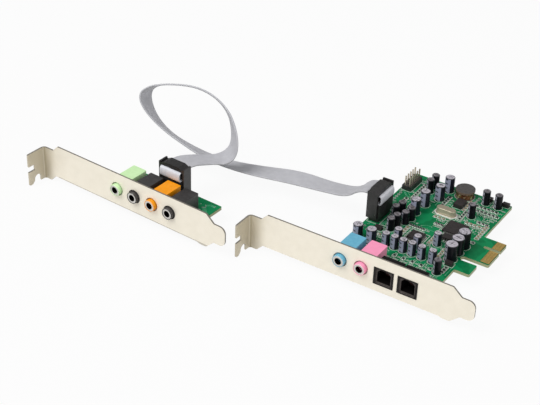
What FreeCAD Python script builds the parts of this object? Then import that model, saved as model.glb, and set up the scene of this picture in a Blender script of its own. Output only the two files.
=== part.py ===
import FreeCAD, Part
import os

V = FreeCAD.Vector
X_AXIS = V(1, 0, 0)
Y_AXIS = V(0, 1, 0)
Z_AXIS = V(0, 0, 1)

# Sound card in two joined halves: a plug-in board behind a slot bracket, and a second bracket
# with four more jacks, joined by a ten-way ribbon. Each half has its own frame: x runs along the
# bracket from its tab to its foot, y into the card, z up, with z = 0 at the bracket's lower edge,
# y = 0 at its front face and x = 0 at the outside of its tab. Millimetres.

# Slot bracket
SHEET = 0.86
BRACKET_LENGTH = 120.02
BRACKET_WIDTH = 18.42
TAB_DEPTH = 11.43
TAB_DROP = 3.4
BEND_RADIUS = 1.4
NECK_TOP_LENGTH = 7.2
NECK_BOTTOM_LENGTH = 5.0
NECK_SLOPE = 3.4
NOTCH_DEPTH = 4.1
NOTCH_WIDTH = 3.2
NOTCH_HEIGHT = 7.7
FINGER_TAPER = 1.6
SCREW_SLOT_WIDTH = 4.42
SCREW_SLOT_SETBACK = 6.4
SCREW_SLOT_HEIGHT = 4.4
FOOT_LENGTH = 6.8
FOOT_TOP_STEP = 4.1
FOOT_BOTTOM_STEP = 3.7
FOOT_CORNER = 3.4
SHOULDER_LENGTH = 4.7
LOBE_DROP = 0.6
LOBE_LENGTH = 5.6
LOBE_SLOPE = 1.8
LOBE_ROUND = 2.4
EDGE_ROUND = 0.6
LUG_WIDTH = 5.0
LUG_DEPTH = 6.4
LUG_HOLE_INSET = 2.6

# Printed boards
BOARD_THICK = 1.57
BOARD_LIFT = 2.38
BOARD_GAP = 0.3
BOARD_CORNER = 0.8
MAIN_LEFT = 40.3
MAIN_RIGHT = 95.0
MAIN_BACK = 97.5
TONGUE_NEAR = 43.5
TONGUE_LENGTH = 20.8
TONGUE_REACH = 12.0
KEY_FROM_NEAR = 12.8
KEY_WIDTH = 1.9
KEY_DEPTH = 7.6
HOOK_GAP = 3.4
HOOK_LENGTH = 8.8
HOOK_REACH = 7.8
AUX_LEFT = 46.5
AUX_RIGHT = 97.0
AUX_BACK = 27.0
FINGER_PITCH = 1.0
FINGER_WIDTH = 0.7
FINGER_LENGTH = 4.5
FINGER_INSET = 0.3
FINGER_THICK = 0.1
FINGERS_NEAR = 11
FINGERS_FAR = 7

# Audio jacks
JACK_WIDTH = 8.4
JACK_HEIGHT = 9.6
JACK_BACK = 17.5
JACK_AXIS_HEIGHT = 5.6
JACK_EDGE = 0.5
BARREL_RADIUS = 3.1
BARREL_PROUD = 2.1
BARREL_CHAMFER = 0.25
BORE_RADIUS = 1.8
BORE_DEPTH = 14.5
SLEEVE_RADIUS = 2.75
SLEEVE_LENGTH = 2.6
SLEEVE_RECESS = 0.2
SPRING_WIDTH = 1.2
SPRING_THICK = 0.3
SPRING_LENGTH = 6.0
SPRING_POCKET = 0.7
SPRING_BACK = 1.6
HOLE_CLEARANCE = 0.6
FACE_CLEARANCE = 0.1
TAIL_ROWS = (0.45, 0.85)
TAIL_SPREAD = 0.36
MAIN_JACKS = (51.0, 62.2)
AUX_JACKS = (51.5, 62.85, 74.2, 85.55)

# Optical sockets
OPTICAL_CENTRES = (74.1, 86.4)
OPTICAL_WIDTH = 10.2
OPTICAL_BODY = 11.4
OPTICAL_HEIGHT = 9.1
OPTICAL_BACK = 10.3
OPTICAL_PROUD = 0.3
OPTICAL_RECESS = 7.0
OPTICAL_RECESS_DEPTH = 7.4
OPTICAL_KEY = 1.5
OPTICAL_STEP = 0.7
OPTICAL_STEP_DEPTH = 0.8
LENS_RADIUS = 1.3
LENS_LENGTH = 2.4
LENS_COLLAR = 2.1
LENS_COLLAR_LENGTH = 0.8
OPTICAL_TAIL_ROW = 0.8

# Pin headers and ribbon connectors
PIN_PITCH = 2.54
PIN_ROWS = 2
PIN_COLUMNS = 5
PIN_SIZE = 0.64
PIN_BASE_HEIGHT = 2.5
PIN_HEIGHT = 8.6
PANEL_PIN_HEIGHT = 7.5
PLUG_LENGTH = 16.2
PLUG_DEPTH = 6.6
SOCKET_HEIGHT = 7.4
PIN_HOLE = 0.9
PIN_HOLE_SPARE = 0.4
LEG_THICK = 1.0
LEG_TOP = 17.2
CLIP_SETBACK = 0.9
COVER_THICK = 3.8
BAR_THICK = 2.2
BAR_END_THICK = 0.9
BAR_SLOPE = 2.8
FOLD_PROUD = 0.8
FOLD_SLACK = 1.0
RIBBON_EXIT = 1.0
RIBBON_BURIED = 0.8
MAIN_PLUG = (43.9, 51.0)
AUX_PLUG = (70.4, 21.9)
PANEL_HEADER = (43.7, 86.0)
PANEL_HEADER_TURN = 90

# Ribbon cable
RIBBON_WAYS = 10
WAY_PITCH = 1.27
RIBBON_THICK = 0.9
SECTIONS_PER_SPAN = 2

# Electrolytic capacitors: can radius, height, and the places of each kind on the main board
SLEEVE_WALL = 0.12
SLEEVE_LIP = 0.35
CAN_TOP_ROUND = 0.3
CAN_VENT = 0.15
VENT_SHARE = 0.55
CAN_SEAT = 0.25
SMALL_CAN = (2.0, 7.0)
SLIM_CAN = (2.0, 7.9)
TALL_CAN = (2.5, 8.5)
LARGE_CAN = (3.1, 9.0)
FRONT_ROW_Y = 30.5
FRONT_ROW = (58.7, 63.4, 68.1, 72.9, 78.0, 83.7)
SMALL_PLACES = [(x, FRONT_ROW_Y) for x in FRONT_ROW] + [(61.9, 37.1), (72.3, 37.1), (79.1, 44.9)]
DARK_PLACES = [(54.4, 43.3), (55.2, 48.0), (57.6, 52.4), (58.4, 57.2), (50.9, 54.6), (52.1, 59.2)]
SLIM_PLACES = [(89.6, 23.8), (82.0, 76.4), (82.7, 91.8), (89.4, 91.8), (54.6, 90.6), (54.4, 85.2)]
TALL_PLACES = [(45.0, 27.4), (52.4, 27.5), (62.0, 92.0), (61.6, 82.0), (57.9, 72.7), (57.4, 63.4)]
LARGE_PLACES = [(90.2, 50.8), (90.0, 44.2), (89.8, 37.6)]

# Chips, crystal, coil and regulator
CONTROLLER_LEADS = 16
CODEC_LEADS = 12
CONTROLLER = {"centre": (80.9, 61.3), "side": 10.0, "tall": 1.4, "leads": CONTROLLER_LEADS, "pitch": 0.5}
CODEC = {"centre": (68.0, 44.4), "side": 7.0, "tall": 1.4, "leads": CODEC_LEADS, "pitch": 0.5}
LEAD_REACH = 1.0
LEAD_HEIGHT = 0.8
LEAD_THICK = 0.15
LEAD_SHARE = 0.5
LEAD_BEND = 0.4
LEAD_SLANT = 0.2
LEAD_LEAN = 0.1
DIMPLE_INSET = 0.38
DIMPLE_RADIUS = 0.06
CHIP_LIFT = 0.1
SMALL_CHIPS = [(80.9, 52.2)]
SMALL_CHIP_LENGTH = 4.9
SMALL_CHIP_WIDTH = 3.9
SMALL_CHIP_TALL = 1.5
SMALL_CHIP_PITCH = 1.27
SMALL_CHIP_LEADS = 4
REGULATOR_CENTRE = (72.7, 82.8)
REGULATOR_SIZE = (4.6, 6.4, 2.2)
REGULATOR_TAB = 1.0
REGULATOR_TAB_THICK = 0.5
CRYSTAL_CENTRE = (70.5, 71.6)
CRYSTAL_LENGTH = 10.2
CRYSTAL_WIDTH = 3.9
CRYSTAL_TALL = 3.5
CRYSTAL_FLANGE = 0.45
CRYSTAL_FLANGE_THICK = 0.5
COIL_CENTRE = (70.9, 92.2)
COIL_RADIUS = 5.0
COIL_HEIGHT = 4.6
COIL_FLANGE = 1.1
COIL_BASE = 0.4
COIL_WINDING = 4.6
COIL_HUB = 2.6

# Surface-mounted parts: rows of (first x, first y, step x, step y, count, turned)
CHIP_LENGTH = 1.6
CHIP_WIDTH = 0.8
CHIP_TALL = 0.5
CHIP_END = 0.3
RESISTOR_ROWS = [
    (66.6, 25.0, 4.75, 0.0, 5, True), (80.2, 83.4, 2.1, 0.0, 7, True), (80.2, 87.2, 2.1, 0.0, 6, True),
    (78.2, 71.6, 0.0, 2.2, 4, False), (88.2, 56.2, 2.2, 0.0, 3, True), (87.6, 73.8, 2.1, 0.0, 3, True),
    (47.6, 64.0, 0.0, 2.2, 5, False), (49.9, 76.4, 0.0, 2.2, 7, False), (70.4, 61.0, 1.5, 0.0, 3, True),
    (91.4, 30.2, 0.0, -2.1, 3, False), (65.4, 78.2, 0.0, 2.1, 5, False), (60.8, 52.6, 1.4, 0.0, 6, True),
    (52.6, 67.0, 0.0, 2.2, 6, False)]
CERAMIC_ROWS = [
    (66.6, 18.6, 2.15, 0.0, 10, True), (60.6, 43.2, 0.0, 2.2, 4, False), (75.4, 50.6, 0.0, -2.2, 4, False),
    (82.6, 70.4, 2.2, 0.0, 5, True), (92.6, 60.6, 0.0, 2.3, 6, False), (84.2, 36.4, 0.0, 2.3, 4, False),
    (48.0, 36.4, 2.2, 0.0, 4, True), (67.2, 66.6, 2.2, 0.0, 3, True), (76.2, 80.0, 0.0, 2.2, 5, False),
    (65.2, 38.4, 2.1, 0.0, 3, True)]
BLOCK_PLACES = [(91.4, 33.2), (82.9, 95.7), (92.2, 95.6), (49.6, 40.2)]
BLOCK_SIZE = (3.6, 2.2, 1.9)

# Fixings and solder
RIVET_SHANK = 0.8
RIVET_HEAD = 1.25
RIVET_HEAD_TALL = 0.5
MAIN_RIVETS = (56.6, 93.4)
AUX_RIVETS = (57.2, 93.4)
SOLDER_RADIUS = 0.75
SOLDER_TALL = 0.9
SOLDER_TIP = 0.35
CAN_LEAD_HALF = 1.0

# Where the second half stands beside the first, and the ribbon's way from its plug to the main
# plug, both in the main half's frame. Each route point has the side that its near edge lies to.
AUX_ORIGIN = (-122.3, -9.0)
AUX_TURN = -3.55
MAIN_PLUG_TURN = 90
RIBBON_LEAD = 4.2
ROUTE = [
    ((-45.7, 25.2, 17.2), (0.99, -0.17, 0.02)), ((-40.7, 31.2, 16.0), (0.95, -0.28, 0.13)),
    ((-36.6, 34.4, 17.4), (0.89, -0.40, 0.21)), ((-34.8, 36.5, 20.3), (0.80, -0.49, 0.34)),
    ((-35.5, 39.3, 24.9), (0.68, -0.55, 0.48)), ((-38.9, 42.9, 30.1), (0.55, -0.58, 0.60)),
    ((-44.5, 46.8, 34.9), (0.41, -0.65, 0.63)), ((-52.0, 49.1, 38.7), (0.27, -0.72, 0.64)),
    ((-60.3, 50.3, 40.5), (0.14, -0.79, 0.60)), ((-68.7, 51.1, 40.4), (0.08, -0.85, 0.52)),
    ((-76.9, 51.2, 39.1), (0.07, -0.89, 0.44)), ((-84.8, 49.4, 37.9), (0.09, -0.90, 0.42)),
    ((-91.7, 45.9, 36.6), (0.12, -0.94, 0.33)), ((-95.4, 42.9, 32.9), (0.12, -0.95, 0.29)),
    ((-93.8, 41.7, 27.0), (0.15, -0.90, 0.40)), ((-87.8, 41.0, 20.2), (0.23, -0.83, 0.50)),
    ((-78.6, 41.1, 14.4), (0.24, -0.80, 0.55)), ((-67.7, 41.9, 10.7), (0.22, -0.84, 0.50)),
    ((-55.5, 42.4, 7.9), (0.18, -0.90, 0.40)), ((-41.1, 43.5, 6.9), (0.13, -0.96, 0.27)),
    ((-23.7, 46.3, 7.5), (0.06, -0.99, 0.11)), ((-4.8, 50.1, 9.0), (-0.01, -1.00, -0.03)),
    ((13.7, 51.6, 9.1), (-0.10, -0.99, 0.12)), ((28.6, 51.5, 11.3), (-0.13, -0.99, 0.06))]

# Levels and sizes that follow from the values above
BOARD_TOP = BOARD_LIFT + BOARD_THICK
BOARD_FRONT = SHEET + BOARD_GAP
HOOK_FAR = TONGUE_NEAR - HOOK_GAP
HOOK_NEAR = HOOK_FAR - HOOK_LENGTH
JACK_AXIS = BOARD_TOP + JACK_AXIS_HEIGHT
JACK_FRONT = SHEET + FACE_CLEARANCE
RIBBON_WIDTH = RIBBON_WAYS * WAY_PITCH
SOCKET_TOP = PIN_BASE_HEIGHT + SOCKET_HEIGHT
COVER_BOTTOM = SOCKET_TOP + RIBBON_THICK
COVER_TOP = COVER_BOTTOM + COVER_THICK
RIBBON_TOP = COVER_TOP + RIBBON_THICK
INNER_LENGTH = PLUG_LENGTH - 2 * LEG_THICK


def box(x0, x1, y0, y1, z0, z1):
    """A block between two corners."""
    return Part.makeBox(x1 - x0, y1 - y0, z1 - z0, V(x0, y0, z0))


def block(centre, size, z0):
    """A block standing on level z0, centred on a plan point."""
    x, y = centre
    length, width, tall = size
    return box(x - length / 2, x + length / 2, y - width / 2, y + width / 2, z0, z0 + tall)


def upright(radius, tall, centre, z0):
    """A standing cylinder."""
    return Part.makeCylinder(radius, tall, V(centre[0], centre[1], z0), Z_AXIS)


def plate(points, thick):
    """A flat plate from an outline of points, extruded by a vector."""
    outline = Part.makePolygon([V(*p) for p in points] + [V(*points[0])])
    return Part.Face(outline).extrude(thick)


def joined(shapes):
    """Several solids as one clean solid."""
    return shapes[0].fuse(shapes[1:]).removeSplitter()


def edges_along(shape, axis, test):
    """Straight edges parallel to an axis whose midpoint passes a test."""
    found = []
    for edge in shape.Edges:
        if not isinstance(edge.Curve, Part.Line):
            continue
        a, b = edge.Vertexes[0].Point, edge.Vertexes[-1].Point
        way = b.sub(a)
        if way.cross(axis).Length < 1e-6 * way.Length and test((a + b) * 0.5):
            found.append(edge)
    return found


def rounded(shape, axis, radius, test):
    """The shape with the chosen straight edges filleted."""
    return shape.makeFillet(radius, edges_along(shape, axis, test))


def tab_plate():
    """The bent tab: a plate across x with its end notch, finger and open screw slot."""
    low, high = -TAB_DROP, BRACKET_WIDTH - TAB_DROP
    tip = -TAB_DEPTH
    finger = tip + NOTCH_DEPTH
    slot_near = -SCREW_SLOT_SETBACK + SHEET + SCREW_SLOT_WIDTH / 2
    slot_far = slot_near - SCREW_SLOT_WIDTH
    points = [
        (0, SHEET, high), (0, tip, high), (0, tip, NOTCH_HEIGHT), (0, finger, NOTCH_HEIGHT),
        (0, finger, NOTCH_HEIGHT - NOTCH_WIDTH), (0, tip, NOTCH_HEIGHT - NOTCH_WIDTH), (0, tip, low),
        (0, slot_far - FINGER_TAPER, low), (0, slot_far, low + FINGER_TAPER),
        (0, slot_near, low + FINGER_TAPER), (0, slot_near, low), (0, SHEET, low)]
    tab = plate(points, V(SHEET, 0, 0))
    slot_top = low + SCREW_SLOT_HEIGHT - SCREW_SLOT_WIDTH / 2
    slot_centre = (slot_near + slot_far) / 2
    arch = Part.makeCylinder(SCREW_SLOT_WIDTH / 2, SHEET, V(0, slot_centre, slot_top), X_AXIS)
    throat = box(0, SHEET, slot_far, slot_near, low, slot_top)
    tab = tab.cut([arch, throat])
    tab = rounded(tab, X_AXIS, EDGE_ROUND, lambda p: p.z < low + 0.1 and p.y < slot_far)
    return rounded(tab, X_AXIS, EDGE_ROUND, lambda p: p.z > high - 0.1 and p.y < tip + 0.1)


def face_plate():
    """The bracket's long face, from the neck at the tab to the foot."""
    low, high = -TAB_DROP, BRACKET_WIDTH - TAB_DROP
    foot = BRACKET_LENGTH - FOOT_LENGTH
    shoulder = foot - SHOULDER_LENGTH
    foot_low, foot_high = FOOT_BOTTOM_STEP, BRACKET_WIDTH - FOOT_TOP_STEP
    lobe_start = shoulder - LOBE_LENGTH
    points = [
        (0, 0, low), (NECK_BOTTOM_LENGTH, 0, low), (NECK_BOTTOM_LENGTH + NECK_SLOPE, 0, 0),
        (lobe_start, 0, 0), (lobe_start + LOBE_SLOPE, 0, -LOBE_DROP), (shoulder, 0, -LOBE_DROP),
        (foot, 0, foot_low), (BRACKET_LENGTH, 0, foot_low), (BRACKET_LENGTH, 0, foot_high),
        (foot, 0, foot_high), (shoulder, 0, BRACKET_WIDTH),
        (NECK_TOP_LENGTH + NECK_SLOPE, 0, BRACKET_WIDTH), (NECK_TOP_LENGTH, 0, high), (0, 0, high)]
    face = plate(points, V(0, SHEET, 0))
    face = rounded(face, Y_AXIS, FOOT_CORNER, lambda p: p.x > BRACKET_LENGTH - 0.1)
    face = rounded(face, Y_AXIS, LOBE_ROUND, lambda p: p.z < -LOBE_DROP + 0.1 and p.x > lobe_start)
    return rounded(face, Y_AXIS, EDGE_ROUND, lambda p: abs(p.x - foot) < 0.1 or abs(p.x - shoulder) < 0.1)


def bracket(jacks, optics, rivets):
    """One slot bracket, with its jack holes, optical windows and lugs under the board."""
    shape = joined([face_plate(), tab_plate()])
    shape = rounded(shape, Z_AXIS, BEND_RADIUS, lambda p: abs(p.x - SHEET) < 1e-3 and abs(p.y) < 1e-3)
    shape = rounded(shape, Z_AXIS, BEND_RADIUS + SHEET, lambda p: abs(p.x) < 1e-3 and abs(p.y - SHEET) < 1e-3)
    round_hole = BARREL_RADIUS + HOLE_CLEARANCE
    holes = [Part.makeCylinder(round_hole, SHEET, V(x, 0, JACK_AXIS), Y_AXIS) for x in jacks]
    window_top = BOARD_TOP + OPTICAL_HEIGHT + FACE_CLEARANCE
    for x in optics:
        half = OPTICAL_WIDTH / 2 + FACE_CLEARANCE
        holes.append(box(x - half, x + half, 0, SHEET, BOARD_TOP, window_top))
    shape = shape.cut(holes)
    lugs = []
    for x in rivets:
        lug = box(x - LUG_WIDTH / 2, x + LUG_WIDTH / 2, SHEET, LUG_DEPTH, BOARD_LIFT - SHEET, BOARD_LIFT)
        lugs.append(lug.cut(upright(RIVET_SHANK, SHEET, (x, LUG_DEPTH - LUG_HOLE_INSET), BOARD_LIFT - SHEET)))
    return joined([shape] + lugs)


def rivet_holes(rivets):
    """The board's holes for the rivets that hold its bracket."""
    return [upright(RIVET_SHANK, BOARD_THICK, (x, LUG_DEPTH - LUG_HOLE_INSET), BOARD_LIFT) for x in rivets]


def main_board():
    """The main board with its plug-in tongue, key slot and retaining hook."""
    tongue_far = TONGUE_NEAR + TONGUE_LENGTH
    tip = MAIN_RIGHT + TONGUE_REACH
    points = [
        (MAIN_LEFT, BOARD_FRONT, BOARD_LIFT), (MAIN_RIGHT, BOARD_FRONT, BOARD_LIFT),
        (MAIN_RIGHT, HOOK_NEAR, BOARD_LIFT), (MAIN_RIGHT + HOOK_REACH, HOOK_NEAR, BOARD_LIFT),
        (MAIN_RIGHT + HOOK_REACH, HOOK_FAR, BOARD_LIFT), (MAIN_RIGHT, HOOK_FAR, BOARD_LIFT),
        (MAIN_RIGHT, TONGUE_NEAR, BOARD_LIFT), (tip, TONGUE_NEAR, BOARD_LIFT),
        (tip, tongue_far, BOARD_LIFT), (MAIN_RIGHT, tongue_far, BOARD_LIFT),
        (MAIN_RIGHT, MAIN_BACK, BOARD_LIFT), (MAIN_LEFT, MAIN_BACK, BOARD_LIFT)]
    board = plate(points, V(0, 0, BOARD_THICK))
    board = rounded(board, Z_AXIS, BOARD_CORNER, lambda p: p.x > MAIN_RIGHT + 1 or p.y > MAIN_BACK - 0.1)
    key = TONGUE_NEAR + KEY_FROM_NEAR
    cuts = [box(tip - KEY_DEPTH, tip, key - KEY_WIDTH / 2, key + KEY_WIDTH / 2, BOARD_LIFT, BOARD_TOP)]
    cuts.append(upright(KEY_WIDTH / 2, BOARD_THICK, (tip - KEY_DEPTH, key), BOARD_LIFT))
    slot_centre = (HOOK_FAR + TONGUE_NEAR) / 2
    cuts.append(upright(HOOK_GAP / 2, BOARD_THICK, (MAIN_RIGHT, slot_centre), BOARD_LIFT))
    return board.cut(cuts + rivet_holes(MAIN_RIVETS))


def aux_board():
    """The small board behind the four-jack bracket."""
    board = box(AUX_LEFT, AUX_RIGHT, BOARD_FRONT, AUX_BACK, BOARD_LIFT, BOARD_TOP)
    board = rounded(board, Z_AXIS, BOARD_CORNER, lambda p: p.y > AUX_BACK - 0.1)
    return board.cut(rivet_holes(AUX_RIVETS))


def edge_contacts():
    """Gold contact fingers on both faces of the tongue, in two runs beside the key slot."""
    key = TONGUE_NEAR + KEY_FROM_NEAR
    tip = MAIN_RIGHT + TONGUE_REACH
    first_gap = KEY_WIDTH / 2 + FINGER_PITCH / 2
    places = [key - first_gap - i * FINGER_PITCH for i in range(FINGERS_NEAR)]
    places += [key + first_gap + i * FINGER_PITCH for i in range(FINGERS_FAR)]
    fingers = []
    for y in places:
        for z in (BOARD_TOP, BOARD_LIFT - FINGER_THICK):
            x0, x1 = tip - FINGER_INSET - FINGER_LENGTH, tip - FINGER_INSET
            fingers.append(box(x0, x1, y - FINGER_WIDTH / 2, y + FINGER_WIDTH / 2, z, z + FINGER_THICK))
    return Part.makeCompound(fingers)


def jack_housing(x):
    """A jack's moulded block and barrel, bored for the plug and pocketed for its springs."""
    half = JACK_WIDTH / 2
    body = box(x - half, x + half, JACK_FRONT, JACK_BACK, BOARD_TOP, BOARD_TOP + JACK_HEIGHT)
    body = rounded(body, Z_AXIS, JACK_EDGE, lambda p: p.y > JACK_BACK - 0.1)
    mouth = V(x, -BARREL_PROUD, JACK_AXIS)
    barrel = Part.makeCylinder(BARREL_RADIUS, JACK_FRONT + BARREL_PROUD, mouth, Y_AXIS)
    rim = [edge for edge in barrel.Edges if edge.BoundBox.YMax < 1e-6 - BARREL_PROUD]
    barrel = barrel.makeChamfer(BARREL_CHAMFER, rim)
    bore = Part.makeCylinder(BORE_RADIUS, BORE_DEPTH, mouth, Y_AXIS)
    seat = Part.makeCylinder(SLEEVE_RADIUS, SLEEVE_RECESS + SLEEVE_LENGTH, mouth, Y_AXIS)
    return joined([body, barrel]).cut([bore, seat] + spring_pockets(x))


def spring_pockets(x):
    """Slots above and below the bore for the contact springs."""
    far = BORE_DEPTH - BARREL_PROUD - SPRING_BACK
    near = far - SPRING_LENGTH
    half = SPRING_WIDTH / 2
    reach = BORE_RADIUS + SPRING_POCKET
    return [box(x - half, x + half, near, far, JACK_AXIS - reach, JACK_AXIS),
            box(x - half, x + half, near, far, JACK_AXIS, JACK_AXIS + reach)]


def jack_springs(jacks):
    """Two leaf contacts in each jack, lying on the far walls of their pockets."""
    leaves = []
    for x in jacks:
        for pocket, low in zip(spring_pockets(x), (True, False)):
            room = pocket.BoundBox
            z0 = room.ZMin if low else room.ZMax - SPRING_THICK
            leaves.append(box(room.XMin, room.XMax, room.YMin, room.YMax, z0, z0 + SPRING_THICK))
    return Part.makeCompound(leaves)


def jack_sleeves(jacks):
    """A plated sleeve a little way inside the mouth of each barrel."""
    sleeves = []
    for x in jacks:
        front = V(x, SLEEVE_RECESS - BARREL_PROUD, JACK_AXIS)
        tube = Part.makeCylinder(SLEEVE_RADIUS, SLEEVE_LENGTH, front, Y_AXIS)
        sleeves.append(tube.cut(Part.makeCylinder(BORE_RADIUS, SLEEVE_LENGTH, front, Y_AXIS)))
    return Part.makeCompound(sleeves)


def optical_housing(x):
    """An optical socket's shell: a wide body behind the bracket, its face and a stepped, keyed recess."""
    half, wide_half = OPTICAL_WIDTH / 2, OPTICAL_BODY / 2
    top = BOARD_TOP + OPTICAL_HEIGHT
    face = box(x - half, x + half, -OPTICAL_PROUD, OPTICAL_BACK, BOARD_TOP, top)
    body = box(x - wide_half, x + wide_half, SHEET + FACE_CLEARANCE, OPTICAL_BACK, BOARD_TOP, top)
    shell = joined([face, body])
    middle = BOARD_TOP + OPTICAL_HEIGHT / 2
    reach = OPTICAL_RECESS / 2
    corner = reach - OPTICAL_KEY
    outline = [
        (x - reach, -OPTICAL_PROUD, middle - reach), (x + reach, -OPTICAL_PROUD, middle - reach),
        (x + reach, -OPTICAL_PROUD, middle + corner), (x + corner, -OPTICAL_PROUD, middle + reach),
        (x - corner, -OPTICAL_PROUD, middle + reach), (x - reach, -OPTICAL_PROUD, middle + corner)]
    recess = plate(outline, V(0, OPTICAL_RECESS_DEPTH, 0))
    wide = reach + OPTICAL_STEP
    deep = OPTICAL_STEP_DEPTH - OPTICAL_PROUD
    step = box(x - wide, x + wide, -OPTICAL_PROUD, deep, middle - wide, middle + wide)
    return shell.cut([recess, step])


def light_guide(x):
    """The light guide on the recess's back wall: a collar and a nose."""
    back = OPTICAL_RECESS_DEPTH - OPTICAL_PROUD
    middle = BOARD_TOP + OPTICAL_HEIGHT / 2
    collar_front = V(x, back - LENS_COLLAR_LENGTH, middle)
    collar = Part.makeCylinder(LENS_COLLAR, LENS_COLLAR_LENGTH, collar_front, Y_AXIS)
    nose = Part.makeCylinder(LENS_RADIUS, LENS_LENGTH, V(x, back - LENS_LENGTH, middle), Y_AXIS)
    return joined([collar, nose])


def pin_grid():
    """Pin centres of a header about its own middle, its rows along x."""
    xs = [(i - (PIN_COLUMNS - 1) / 2) * PIN_PITCH for i in range(PIN_COLUMNS)]
    ys = [(j - (PIN_ROWS - 1) / 2) * PIN_PITCH for j in range(PIN_ROWS)]
    return [(x, y) for x in xs for y in ys]


def header_pins(tall):
    """Square pins standing through the header's base."""
    pins = [block(place, (PIN_SIZE, PIN_SIZE, tall), 0) for place in pin_grid()]
    return Part.makeCompound(pins)


def header_base():
    """The header's moulded base, pierced by its pins."""
    length, width = PIN_COLUMNS * PIN_PITCH, PIN_ROWS * PIN_PITCH
    base = block((0, 0), (length, width, PIN_BASE_HEIGHT), 0)
    holes = [block(place, (PIN_SIZE, PIN_SIZE, PIN_BASE_HEIGHT), 0) for place in pin_grid()]
    return base.cut(holes)


def plug_socket():
    """The ribbon connector's body, with a deep hole for each pin."""
    body = block((0, 0), (INNER_LENGTH, PLUG_DEPTH, SOCKET_HEIGHT), PIN_BASE_HEIGHT)
    deep = PIN_HEIGHT - PIN_BASE_HEIGHT + PIN_HOLE_SPARE
    holes = [block(place, (PIN_HOLE, PIN_HOLE, deep), PIN_BASE_HEIGHT) for place in pin_grid()]
    return body.cut(holes)


def fold_centre():
    """Middle of the ribbon's loose turn in front of the cover, as depth and height."""
    radius = COVER_THICK / 2 + RIBBON_THICK
    return radius - PLUG_DEPTH / 2 - FOLD_PROUD, (SOCKET_TOP + RIBBON_TOP) / 2


def plug_cover():
    """The cover clamped over the ribbon, round where the ribbon turns about it."""
    fold_depth, height = fold_centre()
    depth = fold_depth + FOLD_SLACK
    half = INNER_LENGTH / 2
    slab = box(-half, half, depth, PLUG_DEPTH / 2, COVER_BOTTOM, COVER_TOP)
    nose = Part.makeCylinder(COVER_THICK / 2, INNER_LENGTH, V(-half, depth, height), X_AXIS)
    return joined([slab, nose])


def ribbon_end():
    """The ribbon's clamped end: in under the cover, round its front edge and back over it."""
    depth, height = fold_centre()
    half = RIBBON_WIDTH / 2
    buried = PLUG_DEPTH / 2 - RIBBON_BURIED
    start = V(-half, depth, height)
    ring = Part.makeCylinder(COVER_THICK / 2 + RIBBON_THICK, RIBBON_WIDTH, start, X_AXIS)
    ring = ring.cut(Part.makeCylinder(COVER_THICK / 2, RIBBON_WIDTH, start, X_AXIS))
    ring = ring.cut(box(-half, half, depth, PLUG_DEPTH, SOCKET_TOP, RIBBON_TOP))
    under = box(-half, half, depth, buried, SOCKET_TOP, COVER_BOTTOM)
    over = box(-half, half, depth, PLUG_DEPTH / 2 + RIBBON_EXIT, COVER_TOP, RIBBON_TOP)
    return joined([ring, under, over])


def strain_relief():
    """The clip over the connector: two long legs and a bar whose top slopes down to them."""
    half, inner = PLUG_LENGTH / 2, INNER_LENGTH / 2
    front, back = CLIP_SETBACK - PLUG_DEPTH / 2, PLUG_DEPTH / 2
    pieces = []
    for side in (-1, 1):
        low, high = sorted((side * half, side * inner))
        pieces.append(box(low, high, front, back, PIN_BASE_HEIGHT, LEG_TOP))
    crest = inner - BAR_SLOPE
    end, top = RIBBON_TOP + BAR_END_THICK, RIBBON_TOP + BAR_THICK
    outline = [
        (-inner, front, RIBBON_TOP), (inner, front, RIBBON_TOP), (inner, front, end),
        (crest, front, top), (-crest, front, top), (-inner, front, end)]
    pieces.append(plate(outline, V(0, back - front, 0)))
    return joined(pieces)


def can(centre, size):
    """One capacitor's aluminium can, standing on its rubber seat, with a sunk vent in its top."""
    radius, tall = size
    inner = radius - SLEEVE_WALL
    body = upright(inner, tall - CAN_SEAT, centre, BOARD_TOP + CAN_SEAT)
    top = BOARD_TOP + tall
    rim = [e for e in body.Edges if e.BoundBox.ZMin > top - 1e-6]
    body = body.makeFillet(CAN_TOP_ROUND, rim)
    seat = upright(inner - CAN_TOP_ROUND, CAN_SEAT, centre, BOARD_TOP)
    x, y = centre
    vent_half = inner * VENT_SHARE
    bars = []
    for turn in (0, 1):
        long, thin = (vent_half, CAN_VENT) if turn == 0 else (CAN_VENT, vent_half)
        bars.append(box(x - long, x + long, y - thin, y + thin, top - CAN_VENT, top))
    return joined([body, seat]).cut(bars)


def sleeve(centre, size):
    """A capacitor's shrunk plastic sleeve, open over the can's top."""
    radius, tall = size
    length = tall - SLEEVE_LIP - CAN_SEAT
    z0 = BOARD_TOP + CAN_SEAT
    return upright(radius, length, centre, z0).cut(upright(radius - SLEEVE_WALL, length, centre, z0))


def chip_body(centre, length, width, tall):
    """A moulded chip body standing just off the board."""
    return block(centre, (length, width, tall), BOARD_TOP + CHIP_LIFT)


def gull_lead(start, out, width, height):
    """One bent lead: out of the body, down, and along the board."""
    side = V(-out.y, out.x, 0) * (width / 2)
    floor = BOARD_TOP - height
    bend, toe = LEAD_REACH * LEAD_BEND, LEAD_REACH * (LEAD_BEND + LEAD_SLANT)
    lean = LEAD_REACH * LEAD_LEAN
    profile = [
        (0, 0), (bend, 0), (toe, floor + LEAD_THICK), (LEAD_REACH, floor + LEAD_THICK),
        (LEAD_REACH, floor), (toe - lean, floor), (bend - lean, -LEAD_THICK), (0, -LEAD_THICK)]
    base = V(start.x, start.y, height).sub(side)
    points = [base + out * along + Z_AXIS * up for along, up in profile]
    return plate([tuple(p) for p in points], side * 2)


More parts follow.
